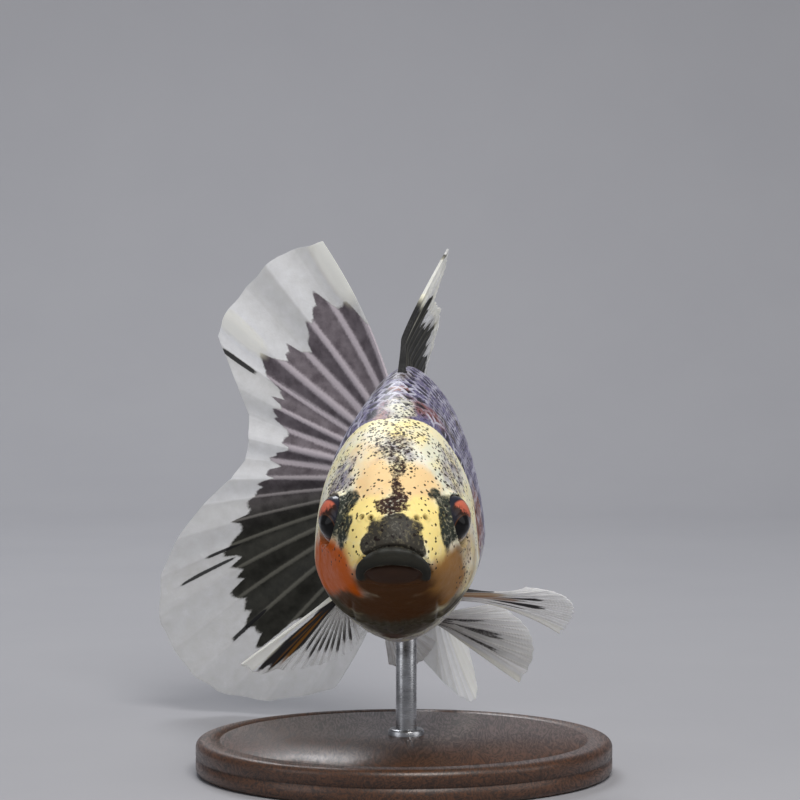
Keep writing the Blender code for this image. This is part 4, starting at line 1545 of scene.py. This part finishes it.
@dataclass
class Stand:
    """Round turned base with a bead and a sunk ring, and a steel rod with a collar."""

    edge: float = 1.1
    steps: int = 10
    base_around: int = 144
    pin: float = 0.02
    bead_half: float = 0.25
    bead_floor: float = 0.08
    bead_depth: float = 0.22
    ring_in: float = 3.5
    ring_half: float = 0.3
    ring_floor: float = 0.15
    ring_depth: float = 0.16
    into_base: float = 2.0
    into_belly: float = 0.5
    rod_taper: float = 0.25
    collar_radius: float = 2.6
    collar_height: float = 0.9
    collar_edge: float = 0.3

    def base_profile(self, radius: float, height: float) -> Stops:
        """Profile of the base: foot, rounded edges, a bead line and the top's sunk ring.

        Args:
            radius: Radius of the base.
            height: Its height.

        Returns:
            Pairs of radius and height, from the foot to the middle of the top.
        """
        bends = np.linspace(0.5 * math.pi, 0.0, self.steps)
        low = [(radius - self.edge + self.edge * math.cos(t), self.edge * (1.0 - math.sin(t)))
               for t in bends]
        high = [(radius - self.edge + self.edge * math.cos(t),
                 height - self.edge + self.edge * math.sin(t)) for t in bends[::-1]]
        middle = 0.5 * height
        bead = [(radius, middle - self.bead_half),
                (radius - self.bead_depth, middle - self.bead_floor),
                (radius - self.bead_depth, middle + self.bead_floor),
                (radius, middle + self.bead_half)]
        ring = radius - self.ring_in
        sunk = [(ring + self.ring_half, height), (ring + self.ring_floor, height - self.ring_depth),
                (ring - self.ring_floor, height - self.ring_depth), (ring - self.ring_half, height)]
        return ((self.pin, 0.0), *low, *bead, *high, *sunk, (self.pin, height))

    def turnings(self) -> list[tuple[Turning, Array]]:
        """Base, rod, and the collar that hides where the rod enters the base.

        Returns:
            Each one with the place of its foot, in millimetres.
        """
        base_low, base_high = (np.array(corner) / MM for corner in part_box("stand_base"))
        rod_low, rod_high = (np.array(corner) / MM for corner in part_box("stand_rod"))
        radius = 0.5 * (base_high[0] - base_low[0])
        thick = 0.5 * (rod_high[0] - rod_low[0])
        top = base_high[2]
        centre = np.array((*(0.5 * (base_low + base_high))[:2], 0.0))
        foot = np.array((*(0.5 * (rod_low + rod_high))[:2], 0.0))
        base = Turning("base_turned", Stuff.WOOD, self.base_profile(radius, top),
                       ("stand_base",), self.base_around)
        sunk = top - self.into_base
        tip = rod_high[2]
        end = tip + self.into_belly
        rod = Turning("rod_turned", Stuff.STEEL,
                      ((self.pin, sunk), (thick, sunk), (thick, tip + 0.1),
                       (thick - self.rod_taper, end), (self.pin, end)), ("stand_rod",))
        hole = thick + self.pin
        low = top - self.collar_edge
        wide = self.collar_radius
        lip = top + self.collar_height
        collar = Turning("rod_collar", Stuff.STEEL,
                         ((hole, low), (wide, low), (wide, lip - self.collar_edge),
                          (wide - self.collar_edge, lip), (thick + 0.35, lip), (hole, lip - 0.2)))
        return [(base, centre), (rod, foot), (collar, foot)]


# --- finishes

class Sum(Enum):
    """Kinds of sum that a material can work out."""

    PLUS = 'ADD'
    MINUS = 'SUBTRACT'
    TIMES = 'MULTIPLY'
    MOST = 'MAXIMUM'
    POWER = 'POWER'
    SINE = 'SINE'
    SIZE = 'ABSOLUTE'
    BELOW = 'LESS_THAN'


class Bench:
    """One material's nodes, laid out with short words."""

    def __init__(self, name: str) -> None:
        """Start a material that has only its shader.

        Args:
            name: The material's name.
        """
        self.material = bpy.data.materials.new(name)
        self.material.use_nodes = True
        self.tree = self.material.node_tree
        self.shader = self.tree.nodes["Principled BSDF"]
        self.where = self.node("TexCoord").outputs["Object"]

    def put(self, value: object, socket: Socket) -> None:
        """Set a socket.

        Args:
            value: Another socket to link, or a plain value to set.
            socket: The socket that takes it.
        """
        if isinstance(value, bpy.types.NodeSocket):
            self.tree.links.new(value, socket)
        else:
            socket.default_value = value

    def fill(self, node: bpy.types.Node, **values: object) -> None:
        """Set or link a node's sockets; an underscore stands for a space."""
        for label, value in values.items():
            self.put(value, node.inputs[label.replace("_", " ")])

    def setting(self, **values: object) -> None:
        """Set or link the shader's own sockets."""
        self.fill(self.shader, **values)

    def node(self, kind: str, **values: object) -> bpy.types.Node:
        """Add a node to the material.

        Args:
            kind: Which kind of node.
            values: What its sockets take.

        Returns:
            The new node.
        """
        node = self.tree.nodes.new("ShaderNode" + kind)
        self.fill(node, **values)
        return node

    def field(self, label: str) -> Socket:
        """One of the mesh's own fields.

        Args:
            label: The field's name.

        Returns:
            Its value at each point of the surface.
        """
        node = self.node("Attribute")
        node.attribute_name = label
        return node.outputs["Fac"]

    def sum(self, kind: Sum, a: object, b: object = 0.0, clamp: bool = False) -> Socket:
        """Sum of two numbers.

        Args:
            kind: Which kind of sum.
            a: First number or socket.
            b: Second number or socket.
            clamp: Keep the answer between 0 and 1.

        Returns:
            The answer.
        """
        node = self.node("Math")
        node.operation = kind.value
        node.use_clamp = clamp
        self.put(a, node.inputs[0])
        self.put(b, node.inputs[1])
        return node.outputs[0]

    def plus(self, a: object, b: object, clamp: bool = False) -> Socket:
        """Two numbers added, and kept between 0 and 1 if clamped."""
        return self.sum(Sum.PLUS, a, b, clamp)

    def minus(self, a: object, b: object, clamp: bool = False) -> Socket:
        """One number less another, and kept between 0 and 1 if clamped."""
        return self.sum(Sum.MINUS, a, b, clamp)

    def times(self, a: object, b: object) -> Socket:
        """Product of two numbers."""
        return self.sum(Sum.TIMES, a, b)

    def most(self, first: object, *others: object) -> Socket:
        """The largest of several numbers."""
        return reduce(lambda a, b: self.sum(Sum.MOST, a, b), others, first)

    def swing(self, noise: Socket, size: float) -> Socket:
        """Noise brought to lie about 0, and so many times as large."""
        return self.times(self.minus(noise, 0.5), size)

    def stretched(self, scale: Triple) -> Socket:
        """The object's own coordinates, packed so closely along x, y and z."""
        return self.node("Mapping", Scale=scale, Vector=self.where).outputs[0]

    def noise(self, size: float, detail: float = 3.0, rough: float = 0.55,
              where: Socket | None = None, stretch: float = 0.0) -> Socket:
        """Cloudy noise.

        Args:
            size: Millimetres from cloud to cloud.
            detail: How many finer layers it has.
            rough: Weight of the finer layers.
            where: Coordinates, the object's own if not given.
            stretch: How far the clouds are bent out of place.

        Returns:
            A number about 0.5.
        """
        node = self.node("TexNoise", Vector=where or self.where, Scale=1.0 / (size * MM),
                         Detail=detail, Roughness=rough, Distortion=stretch)
        return node.outputs["Fac"]

    def dots(self, spacing: float) -> tuple[Socket, Socket, Socket]:
        """Scattered dots with uneven outlines.

        Args:
            spacing: Millimetres from dot to dot.

        Returns:
            Distance from the nearest dot in spacings, and two numbers of that dot's own luck.
        """
        clouds = self.node("TexNoise", Vector=self.where, Scale=1.6 / (spacing * MM))
        bend = self.node("VectorMath")
        bend.operation = 'MULTIPLY_ADD'
        self.put(clouds.outputs["Color"], bend.inputs[0])
        self.put((0.7 * spacing * MM,) * 3, bend.inputs[1])
        self.put(self.where, bend.inputs[2])
        cells = self.node("TexVoronoi", Vector=bend.outputs[0], Scale=1.0 / (spacing * MM))
        parts = self.node("SeparateColor", Color=cells.outputs["Color"])
        return cells.outputs["Distance"], parts.outputs[0], parts.outputs[1]

    def step(self, value: object, low: float, high: float, to_low: float = 0.0,
             to_high: object = 1.0) -> Socket:
        """Smooth step of a value from one level to another.

        Args:
            value: The number or socket that is read.
            low: Where the step starts.
            high: Where it ends.
            to_low: The answer below the step.
            to_high: The answer above it.

        Returns:
            The answer.
        """
        node = self.node("MapRange", Value=value, From_Min=low, From_Max=high,
                         To_Min=to_low, To_Max=to_high)
        node.interpolation_type = 'SMOOTHSTEP'
        return node.outputs["Result"]

    def mix(self, share: object, below: object, above: object) -> Socket:
        """Mix of two colours.

        Args:
            share: How much of the second colour shows, 0 to 1.
            below: The first colour.
            above: The second colour.

        Returns:
            The mixed colour.
        """
        node = self.node("Mix")
        node.data_type = 'RGBA'
        self.put(share, node.inputs[0])
        self.put(below, node.inputs[6])
        self.put(above, node.inputs[7])
        return node.outputs[2]

    def bump(self, height: Socket, depth: float, strength: float = 1.0,
             over: Socket | None = None) -> Socket:
        """Fine relief for the shader.

        Args:
            height: Height of the relief, 0 to 1.
            depth: Millimetres that a height of 1 stands for.
            strength: Share of it that shows.
            over: Another relief beneath.

        Returns:
            The normal to give to the shader.
        """
        node = self.node("Bump", Height=height, Distance=depth * MM, Strength=strength)
        if over is not None:
            self.put(over, node.inputs["Normal"])
        return node.outputs[0]


@dataclass(frozen=True)
class Tint:
    """How one pigment looks: colour, cloud size in millimetres, edge and pale flecks."""

    pigment: Pigment
    colour: Colour
    clouds: float
    spread: float
    soft: float
    fleck: float = 0.0


@dataclass(frozen=True)
class CalicoPaint:
    """Pigments of the calico coat over its cream ground.

    Specks come in sizes, each with its spacing in millimetres, the dot's size in
    spacings and the share of the dots that show where specks are thickest.
    """

    cream: Colour = paint(248, 238, 190)
    bone_white: Colour = paint(240, 238, 222)
    tints: tuple[Tint, ...] = (
        Tint(Pigment.WHITE, paint(230, 230, 208), 2.4, 0.5, 0.4),
        Tint(Pigment.PEACH, paint(244, 210, 156), 2.6, 0.6, 0.5),
        Tint(Pigment.GOLD, paint(254, 230, 148), 2.2, 0.6, 0.5),
        Tint(Pigment.LILAC, paint(100, 94, 132), 2.0, 0.6, 0.34, 0.2),
        Tint(Pigment.RUST, paint(132, 74, 56), 2.4, 0.5, 0.4),
        Tint(Pigment.TAN, paint(154, 110, 56), 3.5, 0.3, 0.5),
        Tint(Pigment.ORANGE, paint(198, 90, 0), 4.0, 0.3, 0.45),
        # Throat grey-green and chin brown, partly painted shade under the head.
        Tint(Pigment.MOSS, paint(72, 68, 54), 3.5, 0.35, 0.45),
        Tint(Pigment.BARK, paint(80, 51, 28), 3.5, 0.3, 0.45),
        Tint(Pigment.OLIVE, paint(52, 56, 50), 1.3, 0.6, 0.26, 0.26),
        Tint(Pigment.SLATE, paint(58, 55, 49), 1.2, 0.4, 0.16, 0.08),
        Tint(Pigment.UMBER, paint(62, 44, 38), 0.7, 0.9, 0.2, 0.5),
    )
    wear: float = 2.2
    specks: tuple[Triple, ...] = ((1.15, 0.17, 0.7), (0.48, 0.34, 1.0))
    ink: Colour = paint(30, 22, 22)

    def lay(self, bench: Bench) -> Socket:
        """Lay every pigment over the cream ground, then the specks.

        Args:
            bench: The material that is being made.

        Returns:
            The finished colour.
        """
        grain = bench.step(bench.noise(0.45, 3.0, 0.6), 0.5, 0.66)
        colour = bench.mix(bench.step(bench.noise(3.2), 0.35, 0.65), self.cream, self.bone_white)
        for tint in self.tints:
            patchy = bench.noise(tint.clouds, 5.0, 0.65, stretch=0.4)
            worn = bench.plus(bench.field(tint.pigment.value),
                              bench.swing(patchy, self.wear * tint.spread))
            share = bench.step(worn, 0.5 - tint.soft, 0.5 + tint.soft)
            if tint.fleck > 0.0:
                share = bench.times(share, bench.minus(1.0, bench.times(grain, tint.fleck)))
            colour = bench.mix(share, colour, tint.colour)
        for spacing, size, cover in self.specks:
            away, chance, girth = bench.dots(spacing)
            kept = bench.sum(Sum.BELOW, chance, bench.times(bench.field("speck"), cover))
            edge = bench.minus(away, bench.times(girth, size))
            spot = bench.step(edge, 0.35 * size, 0.75 * size, 0.92, 0.0)
            colour = bench.mix(bench.times(spot, kept), colour, self.ink)
        return colour


@dataclass(frozen=True)
class SkinFinish:
    """Smooth wet skin of the head, with fine pores, a painted highlight along the upper lip and painted
    shade in the nostrils.
    """

    calico: CalicoPaint = CalicoPaint()
    lip: Colour = paint(44, 43, 38)
    # Colour of the painted highlight along the upper lip.
    lip_highlight: Colour = paint(78, 79, 76)
    cavity: Colour = paint(62, 44, 34)
    nostril_shade_colour: Colour = paint(22, 15, 12)
    glow: Triple = (1.2 * MM, 0.6 * MM, 0.4 * MM)

    def make(self) -> bpy.types.Material:
        """Lay out the nodes.

        Returns:
            The finished material.
        """
        bench = Bench("goldfish_skin")
        colour = self.calico.lay(bench)
        colour = bench.mix(bench.step(bench.field("cavity"), 0.1, 0.9), colour, self.cavity)
        colour = bench.mix(bench.step(bench.field("lip"), 0.2, 0.8), colour, self.lip)
        # Painted highlight along the upper lip.
        lip_highlight_share = bench.times(bench.field("lip_highlight_band"), bench.step(bench.noise(1.4), 0.3, 0.6))
        colour = bench.mix(bench.times(lip_highlight_share, 0.7), colour, self.lip_highlight)
        # Painted shade darkens the nostril openings.
        colour = bench.mix(bench.field("nostril"), colour, self.nostril_shade_colour)
        pores = bench.noise(0.35, 3.0, 0.6)
        folds = bench.noise(2.2, 3.0, 0.5)
        relief = bench.bump(pores, 0.05, 0.5, bench.bump(folds, 0.22, 0.35))
        bench.setting(Base_Color=colour, Normal=relief,
                      Roughness=bench.step(bench.noise(1.2), 0.3, 0.7, 0.34, 0.5),
                      IOR=1.22, Coat_Weight=0.05, Coat_Roughness=0.2, Specular_IOR_Level=0.3,
                      Subsurface_Weight=0.08, Subsurface_Radius=self.glow)
        return bench.material


@dataclass(frozen=True)
class ScaleFinish:
    """Calico scales: the same pigments, a dark dash, growth rings and a pale pearl-white rim, partly the
    scale's own edge and partly a painted highlight.
    """

    calico: CalicoPaint = CalicoPaint()
    dash: Colour = paint(20, 18, 28)
    # Pale rim colour: partly the scale's own edge, partly a painted highlight.
    rim: Colour = paint(206, 206, 220)
    ring_pace: float = 74.0

    def make(self) -> bpy.types.Material:
        """Lay out the nodes.

        Returns:
            The finished material.
        """
        bench = Bench("goldfish_scales")
        colour = self.calico.lay(bench)
        run = bench.field("scale_run")
        off = bench.sum(Sum.SIZE, bench.field("scale_across"))
        ragged = bench.swing(bench.noise(0.6, 4.0), 0.5)
        edge = bench.plus(run, bench.times(bench.sum(Sum.POWER, off, 2.0), 0.3))
        rim = bench.step(bench.plus(edge, ragged), 0.9, 1.02, 0.0, 0.75)
        # Pale rim, partly a painted highlight; it fades out where the chin and throat are dark with their
        # colour and painted shade.
        pale_rim_and_highlight = bench.times(rim, bench.step(bench.noise(5.0), 0.3, 0.6, 0.25, 1.0))
        stained = bench.most(bench.field("moss"), bench.field("bark"))
        pale_rim_and_highlight = bench.times(pale_rim_and_highlight, bench.step(stained, 0.0, 0.7, 1.0, 0.1))
        colour = bench.mix(pale_rim_and_highlight, colour, self.rim)
        narrow = bench.step(bench.plus(off, ragged), 0.22, 0.5, 1.0, 0.0)
        start = bench.step(run, 0.36, 0.5)
        stop = bench.step(run, 0.78, 0.92, 1.0, 0.0)
        kept = bench.step(bench.minus(bench.field("ink"), bench.field("scale_luck")), -0.08, 0.08)
        dash = bench.times(bench.times(narrow, kept), bench.times(start, stop))
        colour = bench.mix(bench.times(dash, 0.9), colour, self.dash)
        rings = bench.sum(Sum.SINE, bench.times(edge, self.ring_pace))
        relief = bench.bump(rings, 0.012, 0.5, bench.bump(bench.noise(0.4), 0.04, 0.5))
        bench.setting(Base_Color=colour, Normal=relief,
                      Roughness=bench.step(bench.noise(1.5), 0.3, 0.7, 0.34, 0.52),
                      IOR=1.4, Coat_Weight=0.1, Coat_Roughness=0.2)
        return bench.material


@dataclass(frozen=True)
class FinFinish:
    """Clear, milky or sooty web between pale jointed rays, the milky web carrying painted shade of its
    folds.
    """

    milk: Colour = paint(250, 251, 254)
    smoke: Colour = paint(186, 185, 180)
    ivory: Colour = paint(255, 252, 228)
    soot: Colour = paint(30, 30, 26)
    mauve_soot: Colour = paint(82, 74, 80)
    bone: Colour = paint(226, 224, 216)
    dark_bone: Colour = paint(92, 91, 84)
    mauve_bone: Colour = paint(194, 185, 192)
    amber: Colour = paint(176, 118, 46)
    ink: Colour = paint(20, 20, 23)
    glow: float = 1.2 * MM
    joint_pace: float = 230.0

    def make(self) -> bpy.types.Material:
        """Lay out the nodes.

        Returns:
            The finished material.
        """
        bench = Bench("goldfish_fin")
        bone = bench.field("bone")
        clouds = bench.noise(2.0, 4.0, 0.6)
        grain = bench.noise(0.35, 2.0, 0.5)
        # Web whiteness, partly painted shade of the folds, mixes smoke to milk.
        milky = bench.plus(bench.field("web_milk_and_pleat_shade"), bench.swing(clouds, 0.7), True)
        web = bench.mix(milky, self.smoke, self.milk)
        fuzzy = bench.swing(grain, 0.5)
        sooty = bench.step(bench.plus(bench.field("dark"), fuzzy), 0.3, 0.75)
        upper = bench.field("sooty")
        black = bench.mix(upper, self.soot, self.mauve_soot)
        lit = bench.mix(upper, self.dark_bone, self.mauve_bone)
        colour = bench.mix(sooty, web, bench.mix(bench.step(clouds, 0.2, 0.8, 0.0, 0.25), black, lit))
        ray = bench.mix(bench.step(sooty, 0.2, 0.9), self.bone, lit)
        shown = bench.step(bench.plus(bone, fuzzy), 0.1, 0.9,
                           0.0, bench.step(sooty, 0.0, 1.0, 0.4, 0.95))
        colour = bench.mix(shown, colour, ray)
        ink = bench.step(bench.plus(bench.field("ink"), fuzzy), 0.3, 0.75, 0.0, 0.95)
        colour = bench.mix(ink, colour, self.ink)
        warm = bench.field("warm")
        colour = bench.mix(bench.times(warm, 0.85), colour, self.amber)
        pale = bench.field("pale")
        colour = bench.mix(pale, colour, self.ivory)
        joints = bench.sum(Sum.SINE, bench.times(bench.field("run"), self.joint_pace))
        relief = bench.bump(bench.times(joints, bone), 0.02, 0.5, bench.bump(grain, 0.05, 0.5))
        stained = bench.most(sooty, ink, warm)
        solid = bench.most(stained, pale, bench.step(bone, 0.2, 0.8, 0.0, 0.3),
                           bench.times(milky, 0.75))
        clear = bench.times(bench.field("sheer"), bench.minus(1.0, solid))
        clear = bench.times(clear, bench.step(clouds, 0.25, 0.75, 0.85, 1.15))
        bench.setting(Base_Color=colour, Normal=relief, IOR=1.3, Specular_IOR_Level=0.4,
                      Alpha=bench.minus(1.0, clear, True),
                      Roughness=bench.step(clouds, 0.3, 0.7, 0.35, 0.55),
                      Subsurface_Weight=bench.step(stained, 0.0, 0.6, 0.85, 0.0),
                      Subsurface_Scale=self.glow, Subsurface_Radius=(1.0, 1.0, 1.0))
        return bench.material


@dataclass(frozen=True)
class EyeFinish:
    """Black lens, thin gold ring, and an iris red above, silver below; the front of the red carries a
    painted pink highlight.
    """

    black: Colour = paint(8, 7, 8)
    gold: Colour = paint(78, 48, 30)
    # Red at the front of the top of the iris, tinted pink as a painted highlight.
    red_and_highlight: Colour = paint(204, 108, 84)
    amber: Colour = paint(190, 106, 34)
    silver: Colour = paint(190, 182, 176)
    umber: Colour = paint(52, 34, 26)
    slate: Colour = paint(38, 40, 50)
    pupil: float = Eye.pupil
    rim: float = Eye.rim

    def make(self) -> bpy.types.Material:
        """Lay out the nodes.

        Returns:
            The finished material.
        """
        bench = Bench("goldfish_eye")
        out = bench.field("from_pupil")
        high = bench.field("high")
        streaks = bench.noise(0.45, 4.0, 0.65)
        ahead = bench.field("ahead")
        mottled = bench.plus(high, bench.swing(streaks, 0.7))
        iris = bench.mix(bench.step(mottled, -0.62, -0.42), self.silver, self.umber)
        lofty = bench.minus(mottled, bench.times(ahead, 0.6))
        # Top of the iris: amber behind, and in front red with a painted pink highlight.
        top_iris_and_highlight = bench.mix(bench.step(ahead, -0.45, -0.1), self.amber, self.red_and_highlight)
        iris = bench.mix(bench.step(lofty, 0.36, 0.62), iris, top_iris_and_highlight)
        front = bench.plus(ahead, bench.times(high, -0.5))
        iris = bench.mix(bench.step(front, 0.1, 0.5, 0.0, 0.9), iris, self.slate)
        colour = bench.mix(bench.step(out, self.pupil - 0.1, self.pupil - 0.02),
                           self.black, self.gold)
        colour = bench.mix(bench.step(out, self.pupil, self.pupil + 0.1), colour, iris)
        colour = bench.mix(bench.step(bench.field("from_middle"), self.rim, self.rim + 0.25),
                           colour, self.slate)
        relief = bench.bump(streaks, 0.03, 0.4)
        bench.setting(Base_Color=colour, Normal=relief, Roughness=0.35, IOR=1.2,
                      Coat_Weight=1.0, Coat_Roughness=0.02, Coat_IOR=1.22)
        return bench.material


@dataclass(frozen=True)
class WoodFinish:
    """Dark stained, oiled wood with its growth rings and pores."""

    dark: Colour = paint(38, 24, 16)
    light: Colour = paint(92, 58, 36)
    lay: Triple = (1.0, 0.12, 1.0)
    ring_pace: float = 60.0

    def make(self) -> bpy.types.Material:
        """Lay out the nodes.

        Returns:
            The finished material.
        """
        bench = Bench("stand_wood")
        laid = bench.stretched(self.lay)
        grain = bench.noise(2.6, 5.0, 0.6, laid, 1.2)
        rings = bench.sum(Sum.SINE, bench.times(grain, self.ring_pace))
        pores = bench.noise(0.35, 2.0, 0.5, laid)
        share = bench.plus(bench.step(rings, -1.0, 1.0, 0.0, 0.55),
                           bench.step(pores, 0.3, 0.7, 0.0, 0.4))
        colour = bench.mix(share, self.dark, self.light)
        relief = bench.bump(pores, 0.08, 0.35)
        bench.setting(Base_Color=colour, Normal=relief, Coat_Weight=0.25, Coat_Roughness=0.25,
                      Roughness=bench.step(share, 0.1, 0.9, 0.5, 0.36))
        return bench.material


@dataclass(frozen=True)
class SteelFinish:
    """Brushed steel with fine turning marks."""

    steel: Colour = paint(196, 197, 200)
    worn: Colour = paint(150, 150, 152)
    brushed: Triple = (0.15, 0.15, 4.0)

    def make(self) -> bpy.types.Material:
        """Lay out the nodes.

        Returns:
            The finished material.
        """
        bench = Bench("stand_steel")
        marks = bench.noise(0.8, 4.0, 0.6, bench.stretched(self.brushed))
        colour = bench.mix(bench.step(bench.noise(3.0), 0.35, 0.7), self.steel, self.worn)
        bench.setting(Base_Color=colour, Normal=bench.bump(marks, 0.02, 0.4), Metallic=1.0,
                      Roughness=bench.step(marks, 0.3, 0.7, 0.22, 0.4))
        return bench.material


@dataclass(frozen=True)
class StudioFinish:
    """Matt pale paper of the floor and the backdrop."""

    pale: Colour = paint(156, 156, 161)
    paler: Colour = paint(162, 162, 166)

    def make(self) -> bpy.types.Material:
        """Lay out the nodes.

        Returns:
            The finished material.
        """
        bench = Bench("studio_paper")
        colour = bench.mix(bench.noise(40.0), self.pale, self.paler)
        bench.setting(Base_Color=colour, Roughness=0.8,
                      Normal=bench.bump(bench.noise(0.6), 0.05, 0.2))
        return bench.material


# --- setting

@dataclass(frozen=True)
class Lamp:
    """Soft round lamp. Its size is in millimetres and its power in watts."""

    name: str
    place: Triple
    size: float
    power: float
    colour: Triple = (1.0, 1.0, 1.0)

    def hang(self, aim: Triple) -> None:
        """Hang the lamp and turn it.

        Args:
            aim: What it points at, in millimetres.
        """
        light = bpy.data.lights.new(self.name, 'AREA')
        light.shape = 'DISK'
        light.size = self.size * MM
        light.energy = self.power
        light.color = self.colour
        made = bpy.data.objects.new(self.name, light)
        made.location = Vector(self.place) * MM
        turned = (Vector(aim) - Vector(self.place)).to_track_quat('-Z', 'Y')
        made.rotation_euler = turned.to_euler()
        bpy.context.scene.collection.objects.link(made)


@dataclass
class Studio:
    """Seamless pale sweep, soft lights and the camera before the fish's face."""

    backbone: Backbone
    middle: Triple = (0.0, 0.0, 40.0)
    lamps: tuple[Lamp, ...] = (
        Lamp("key", (120.0, -420.0, 620.0), 420.0, 4.2, (1.0, 0.98, 0.95)),
        Lamp("fill_left", (-560.0, -320.0, 260.0), 420.0, 0.5, (0.95, 0.97, 1.0)),
        Lamp("fill_right", (560.0, -200.0, 300.0), 420.0, 0.5),
        Lamp("rim", (-120.0, 420.0, 520.0), 300.0, 1.8, (0.95, 0.97, 1.0)),
    )
    sky: Colour = (0.92, 0.94, 1.0, 1.0)
    sky_strength: float = 0.22
    distance: float = 450.0
    camera_down: float = math.radians(3.0)
    camera_right: float = 0.92
    camera_up: float = 21.4
    lens: float = 154.0
    sensor: float = 36.0
    sweep_behind: float = 420.0
    sweep_bend: float = 180.0
    half_width: float = 1400.0
    front: float = 1500.0
    top: float = 1300.0

    def sweep(self) -> None:
        """Make the floor, which bends up into the backdrop behind the fish."""
        bend = [(self.sweep_behind + self.sweep_bend * math.sin(t),
                 self.sweep_bend * (1.0 - math.cos(t)))
                for t in np.linspace(0.0, 0.5 * math.pi, 25)]
        line = [(-self.front, 0.0), *bend, (self.sweep_behind + self.sweep_bend, self.top)]
        places = [(x, y, z) for y, z in line for x in (-self.half_width, self.half_width)]
        faces = [(2 * k, 2 * k + 1, 2 * k + 3, 2 * k + 2) for k in range(len(line) - 1)]
        mesh = bpy.data.meshes.new("studio_sweep")
        mesh.from_pydata((np.array(places) * MM).tolist(), [], faces)
        mesh.shade_smooth()
        mesh.materials.append(StudioFinish().make())
        made = bpy.data.objects.new("studio_sweep", mesh)
        bpy.context.scene.collection.objects.link(made)

    def light_up(self) -> None:
        """Soft key from above in front, two fills, a rim light and an even sky."""
        for lamp in self.lamps:
            lamp.hang(self.middle)
        world = bpy.data.worlds.new("studio_sky")
        world.use_nodes = True
        sky = world.node_tree.nodes["Background"]
        sky.inputs["Color"].default_value = self.sky
        sky.inputs["Strength"].default_value = self.sky_strength
        bpy.context.scene.world = world
        bpy.context.scene.view_settings.view_transform = 'Standard'

    def set_camera(self) -> None:
        """Camera a little above the fish's gaze, looking along the body."""
        level = math.cos(self.camera_down)
        drop = math.sin(self.camera_down)
        gaze = np.array((0.0, level, -drop))
        high = np.array((0.0, drop, level))
        place = self.backbone.nose - gaze * self.distance + high * self.camera_up
        place = place + np.array((self.camera_right, 0.0, 0.0))
        lens = bpy.data.cameras.new("front_camera")
        lens.lens = self.lens
        lens.sensor_width = self.sensor
        lens.clip_start = 10.0 * MM
        made = bpy.data.objects.new("front_camera", lens)
        made.location = Vector(place) * MM
        made.rotation_euler = (0.5 * math.pi - self.camera_down, 0.0, 0.0)
        bpy.context.scene.collection.objects.link(made)
        bpy.context.scene.camera = made


# --- building

def eye_middle(node: str) -> Array:
    """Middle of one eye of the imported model, in millimetres."""
    low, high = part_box(node)
    return np.array((low + high) * 0.5) / MM


def find_nose(eye_place: Triple) -> Array:
    """World place of the mouth, worked back from where the two eyes are on the fish."""
    between = 0.5 * (eye_middle("eye_left") + eye_middle("eye_right"))
    return between - Backbone(np.zeros(3)).place(eye_place[0], 0.0, eye_place[2])


def main() -> None:
    """Build the fish, its stand and the studio, in order."""
    logging.basicConfig(level=logging.INFO, format="%(message)s")
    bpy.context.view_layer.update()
    relief = Relief()
    backbone = Backbone(find_nose(relief.eye_place))
    form = BodyForm(backbone)
    markings = Markings(form, relief)
    studio = Studio(backbone)
    studio.set_camera()
    studio.sweep()
    studio.light_up()

    skin = Skin(form, relief, markings)
    skin.piece().make(SkinFinish().make(), skin.nodes)
    coat = ScaleCoat(form, skin, markings)
    scale_finish = ScaleFinish().make()
    for flank in Flank:
        coat.piece(flank).make(scale_finish)
    fin_finish = FinFinish().make()
    for fin in make_fins(form):
        fin.piece().make(fin_finish, fin.replaced)
    eye_finish = EyeFinish().make()
    for flank in Flank:
        node = "eye_" + flank.name.lower()
        Eye(flank).piece(eye_middle(node)).make(eye_finish, (node,))
    stand_finishes = {Stuff.WOOD: WoodFinish().make(), Stuff.STEEL: SteelFinish().make()}
    for turning, foot in Stand().turnings():
        turning.piece(foot).make(stand_finishes[turning.stuff], turning.nodes)


if __name__ == "__main__":
    main()
